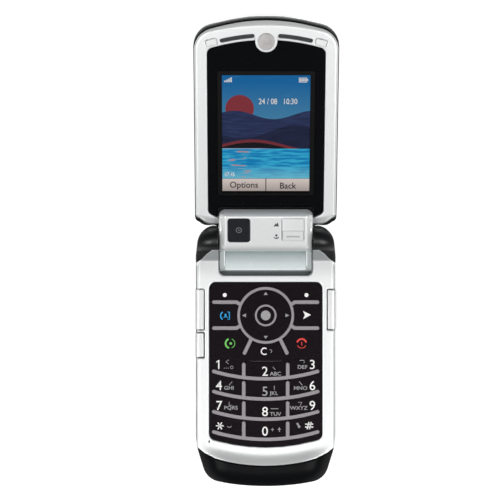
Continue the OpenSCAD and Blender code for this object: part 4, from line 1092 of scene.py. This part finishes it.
# The black border printed round the picture, and the raised frame inside it
prints("window_mask", [[window_loop(0.15), box_loop(-18.1, 18.1, 16.2, 64.6, 0.4)]], LENS_BLACK, "flip",
       -1.3, 0.2)
finish_mesh("picture_bezel", plate(box_loop(-18.05, 18.05, 16.25, 64.55, 0.8),
                                   [box_loop(-half - 0.05, half + 0.05, PICTURE_U0 - 0.05,
                                             PICTURE_U1 + 0.05)],
                                   -1.2, -1.6, 0.3, 0.12), FRAME_BLACK, "flip")

# ---------------------------------------------------------------- legends

LETTERS = {"2": "ABC", "3": "DEF", "4": "GHI", "5": "JKL", "6": "MNO", "7": "PQRS", "8": "TUV", "9": "WXYZ"}
PX_SIZE, AXIS_PX = 0.3775, (265.7, 238)        # a pixel's size, and the pixel over the hinge's middle


def px(x, y):
    """Millimetres on the keypad from a pixel of the photograph."""
    return ((x - AXIS_PX[0]) * PX_SIZE, HINGE_Y + (AXIS_PX[1] - y) * PX_SIZE)


INK_Z = KEY_TOP + 0.005
for d, at in {"1": (218.7, 364.5), "4": (219.0, 385.4), "7": (219.0, 405.6), "2": (265.0, 371.2),
              "5": (265.0, 391.3), "8": (265.0, 411.5), "0": (265.0, 431.2), "3": (312.4, 364.5),
              "6": (312.4, 385.6), "9": (312.4, 405.5)}.items():
    x, y = px(*at)
    ink = INK_GREY if d == "5" else INK_WHITE
    if d == "1":
        prints("digit_1", [[(x + 0.26, y - 1.72), (x + 0.26, y + 1.72), (x - 0.1, y + 1.72),
                            (x - 0.95, y + 1.12),
                            (x - 0.95, y + 0.66), (x - 0.2, y + 1.12), (x - 0.2,
                                                                        y - 1.72)]], ink, "key_1", INK_Z)
    else:
        words("digit_" + d, d, x, y, 3.45, ink, "key_" + d, INK_Z, bold=0.025)
    if d in LETTERS:
        side = 1 if d in "245780" else -1
        words("letters_" + d, LETTERS[d], x + side * 1.85, y - 0.93, 1.36, INK_GREY, "key_" + d, INK_Z,
              align="LEFT" if side > 0 else "RIGHT", bold=0.03, wide=1.12)
# the small stroke marks over the letters: lines of points from each mark's middle
STROKES = {"1": (227.0, 361.8, [(0.7, 0.8), (-0.5, 0), (0.6, -0.8)]),
           "2": (274.0, 368.4, [(-0.4, 0.5), (0.5, -0.5)]),
           "3": (302.0, 361.4, [(-0.8, 0.4), (0.8, 0.4), (0.8, -0.6)]), "4": (230.6, 383.4,
                                                                              [(0.6, 0.7), (-0.6, -0.7)]),
           "5": (274.3, 387.9, [(0, 0.8), (0, -0.7)]), "6": (300.8, 383.4, [(-0.6, 0.7), (0.6, -0.7)]),
           "7": (230.2, 403.9, [(-0.4, 0.8), (-0.4, -0.5), (0.6, -0.5)]), "8": (274.6, 408.7,
                                                                                [(-1.4, 0), (1.4, 0)]),
           "9": (300.2, 403.6, [(-0.8, 0.5), (0.7, 0.5), (0, -0.7)])}
for d, (mx, my, points) in STROKES.items():
    x, y = px(mx, my)
    prints("stroke_" + d, [ribbon([(x + dx, y + dy) for dx, dy in points], 0.24)], INK_GREY, "key_" + d,
           INK_Z)
x, y = px(228.4, 367.3)
prints("one_marks", [circle(x - 1.6 + 0.75 * k, y - 0.3, 0.17, 12) for k in range(3)]
       + [[circle(x + 1.25, y, 0.6, 20), circle(x + 1.25, y, 0.42, 20)]], INK_GREY, "key_1", INK_Z)

prints("key_joint_film", [box_loop(-0.05, 0.05, 25.2, 27.9), box_loop(-0.05, 0.05, -36.0, -32.4)], KEY_FILM,
       "base",
       KEY_TOP - 0.5, t=0.2)

for sx, key in ((-1, "soft_key_left"), (1, "soft_key_right")):
    x, y = px(224.8 if sx < 0 else 306.5, 295.0)
    prints("dot_" + key, [circle(x, y, 0.75, 24)], INK_WHITE, key, INK_Z)
for k, a in enumerate((0, 90, 180, 270)):
    c, s = math.cos(math.radians(a)), math.sin(math.radians(a))
    tip = [(7.75, 0.75), (7.75, -0.75), (8.85, 0)] if k % 2 else [(7.45, 0.72), (7.45, -0.72), (8.9, 0)]
    prints("nav_arrow_%d" % k, [[(p[0] * c - p[1] * s, NAV_Y + p[0] * s + p[1] * c) for p in tip]],
           INK_GREY, "nav_ring", INK_Z)
finish_mesh("select_ring", plate(circle(0, NAV_Y, 4.1, 64), [circle(0, NAV_Y, 3.36, 64)], RIB_TOP + 0.03,
                                 KEY_TOP - 0.1, 0.12, 0.12), RIB_RUBBER, "nav_ring")
prints("select_dot", [circle(0, NAV_Y, 1.85, 36)], INK_GREY, "select_key", RIB_TOP + 0.005)
x, y = px(225, 315.7)
prints("message_icon", [ribbon(arc(x, y, 1.65, 122, 238), 0.44), ribbon(
    [(x + 0.95, y + 1.4), (x + 1.65, y + 1.4), (x + 1.65, y - 1.4), (x + 0.95, y - 1.4)], 0.36),
    circle(x + 0.2, y + 0.35, 0.42, 16), ribbon(arc(x + 0.2, y - 1.0, 0.7, 20, 160), 0.4)],
    INK_CYAN, "message_key", INK_Z)
x, y = px(307, 314.8)
prints("browser_icon", [[(x - 1.5, y + 1.45), (x - 0.75, y - 0.15), (x - 1.5, y - 1.6), (x + 1.55, y)]],
       INK_WHITE, "browser_key", INK_Z)
x, y = px(230.2, 343.4)
prints("send_icon", [ribbon(arc(x, y, 1.75, 110, 255), 0.62), ribbon(arc(x, y, 1.75, -75, 70), 0.24),
                     circle(x + 0.2, y, 0.5, 20)], INK_GREEN, "send_key", INK_Z)
x, y = px(301.7, 343.3)
prints("end_icon", [ribbon(arc(x, y - 0.1, 1.75, 15, 165), 0.66), ribbon([(x, y - 0.75), (x, y + 0.5)], 0.34),
                    ribbon(arc(x, y - 0.1, 1.7, 205, 335), 0.26)], INK_RED, "end_key", INK_Z)
x, y = px(264.5, 351.2)
prints("clear_icon", [ribbon(arc(x, y, 1.2, 50, 310), 0.42)], INK_WHITE, "clear_key", INK_Z)
prints("clear_arrow", [ribbon(arc(x + 2.2, y, 0.55, -80, 120), 0.2)], INK_GREY, "clear_key", INK_Z)
prints("clear_underline", [ribbon([(-6, -1.75), (-5.3, -2.2), (5.3, -2.2), (6, -1.75)], 0.14)], INK_DARK,
       "clear_key", INK_Z)
x, y = px(219.8, 425.8)
prints("star_icon", [ribbon([(x - 1.5 * math.cos(a), y - 1.5 * math.sin(a)),
                             (x + 1.5 * math.cos(a), y + 1.5 * math.sin(a))], 0.42)
                     for a in (0.0, math.pi / 3, -math.pi / 3)], INK_WHITE, "key_star", INK_Z)
prints("star_smile", [ribbon(arc(x + 3.6, y + 0.2, 0.8, 200, 340), 0.24)], INK_GREY, "key_star", INK_Z)
x, y = px(309.2, 425.6)
prints("hash_icon", [ribbon([(x - 1.5, y + s * 0.55), (x + 1.5, y + s * 0.55)], 0.46) for s in (-1, 1)]
       + [ribbon([(x - 0.75 + s * 0.55, y - 1.35), (x - 0.1 + s * 0.55, y + 1.35)], 0.46) for s in (0, 1.6)],
       INK_WHITE, "key_hash", INK_Z)
prints("hash_mark", [circle(x - 3.8, y - 0.4, 0.5, 16), [(x - 4.9, y + 1.0), (x - 4.2, y + 1.1), (x - 3.7, y),
                                                         (x - 4.5, y)]], INK_GREY, "key_hash", INK_Z)
x, y = px(272.5, 429.5)
prints("zero_marks", [ribbon([(x - 0.6, y), (x + 0.6, y)], 0.24), ribbon([(x, y - 0.6), (x, y + 0.6)], 0.24),
                      [(x + 2.0, y - 0.1), (x + 3.2, y - 0.1), (x + 2.6, y + 0.9)],
                      ribbon([(x + 2.6, y - 0.9), (x + 2.6, y)], 0.3)], INK_GREY, "key_0", INK_Z)

# ---------------------------------------------------------------- camera, light, floor

cam_data = bpy.data.cameras.new("camera")
cam_data.lens, cam_data.sensor_width = 133.5, 36.0
cam_data.clip_start, cam_data.clip_end = 0.01, 20
cam = link_object("camera", cam_data)
cam.location = (-0.00593, 0.0398, 0.7116)
bpy.context.scene.camera = cam


for side, name in ((-1, "soft_left"), (1, "soft_right")):
    data = bpy.data.lights.new(name, "AREA")
    data.shape, data.size, data.size_y, data.energy = "RECTANGLE", 0.6, 0.7, 8.0
    lamp = link_object(name, data)
    lamp.location = (side * 0.55, -0.29, 1.08)
    towards = Vector(lamp.location) - Vector((0, 0.03, 0))
    lamp.rotation_euler = towards.to_track_quat("Z", "Y").to_euler()


def background(nt):
    """1 for rays that show the background: camera, glossy and transmission."""
    path = add_node(nt, "LightPath").outputs
    out = path["Is Camera Ray"]
    for name in ("Is Glossy Ray", "Is Transmission Ray"):
        out = add_node(nt, "Math", {0: out, 1: path[name]}, operation="MAXIMUM").outputs[0]
    return out


def blank_nodes(owner):
    owner.use_nodes = True
    owner.node_tree.nodes.clear()
    return owner.node_tree


world = bpy.data.worlds.new("studio")
bpy.context.scene.world = world
nt = blank_nodes(world)
coords = add_node(nt, "TexCoord").outputs["Generated"]
up = add_node(nt, "SeparateXYZ", {"Vector": coords}).outputs["Z"]
# a white backdrop, with a dim ceiling over the set
tone = colour_ramp(nt, up, [(0.0, (1, 1, 1, 1)), (0.2, (0.06, 0.06, 0.06, 1))])
backdrop = add_node(nt, "Background", {"Color": tone})
ambient = add_node(nt, "Background", {"Color": (1, 1, 1, 1), "Strength": 0.2})
mixer = add_node(nt, "MixShader", {"Fac": background(nt), 1: ambient.outputs[0], 2: backdrop.outputs[0]})
add_node(nt, "OutputWorld", {"Surface": mixer.outputs[0]})

floor_mesh = bpy.data.meshes.new("floor")
floor_mesh.from_pydata([(-6, -6, 0), (6, -6, 0), (6, 6, 0), (-6, 6, 0)], [], [(0, 1, 2, 3)])
floor = link_object("floor", floor_mesh)
floor.location = (0, 0, -0.0002)
floor_paint = bpy.data.materials.new("floor")
nt = blank_nodes(floor_paint)
diffuse = add_node(nt, "BsdfDiffuse", {"Color": (0.4, 0.4, 0.4, 1)})
level = add_node(nt, "Math", {0: background(nt), 1: 0.84}, operation="MULTIPLY")
glow = add_node(nt, "Emission", {"Strength": level.outputs[0]})
both = add_node(nt, "AddShader", {0: diffuse.outputs[0], 1: glow.outputs[0]})
# seen from below, the floor is clear
below = add_node(nt, "NewGeometry").outputs["Backfacing"]
clear = add_node(nt, "BsdfTransparent")
side = add_node(nt, "MixShader", {"Fac": below, 1: both.outputs[0], 2: clear.outputs[0]})
add_node(nt, "OutputMaterial", {"Surface": side.outputs[0]})
floor_mesh.materials.append(floor_paint)

bpy.context.scene.view_settings.view_transform = "Standard"
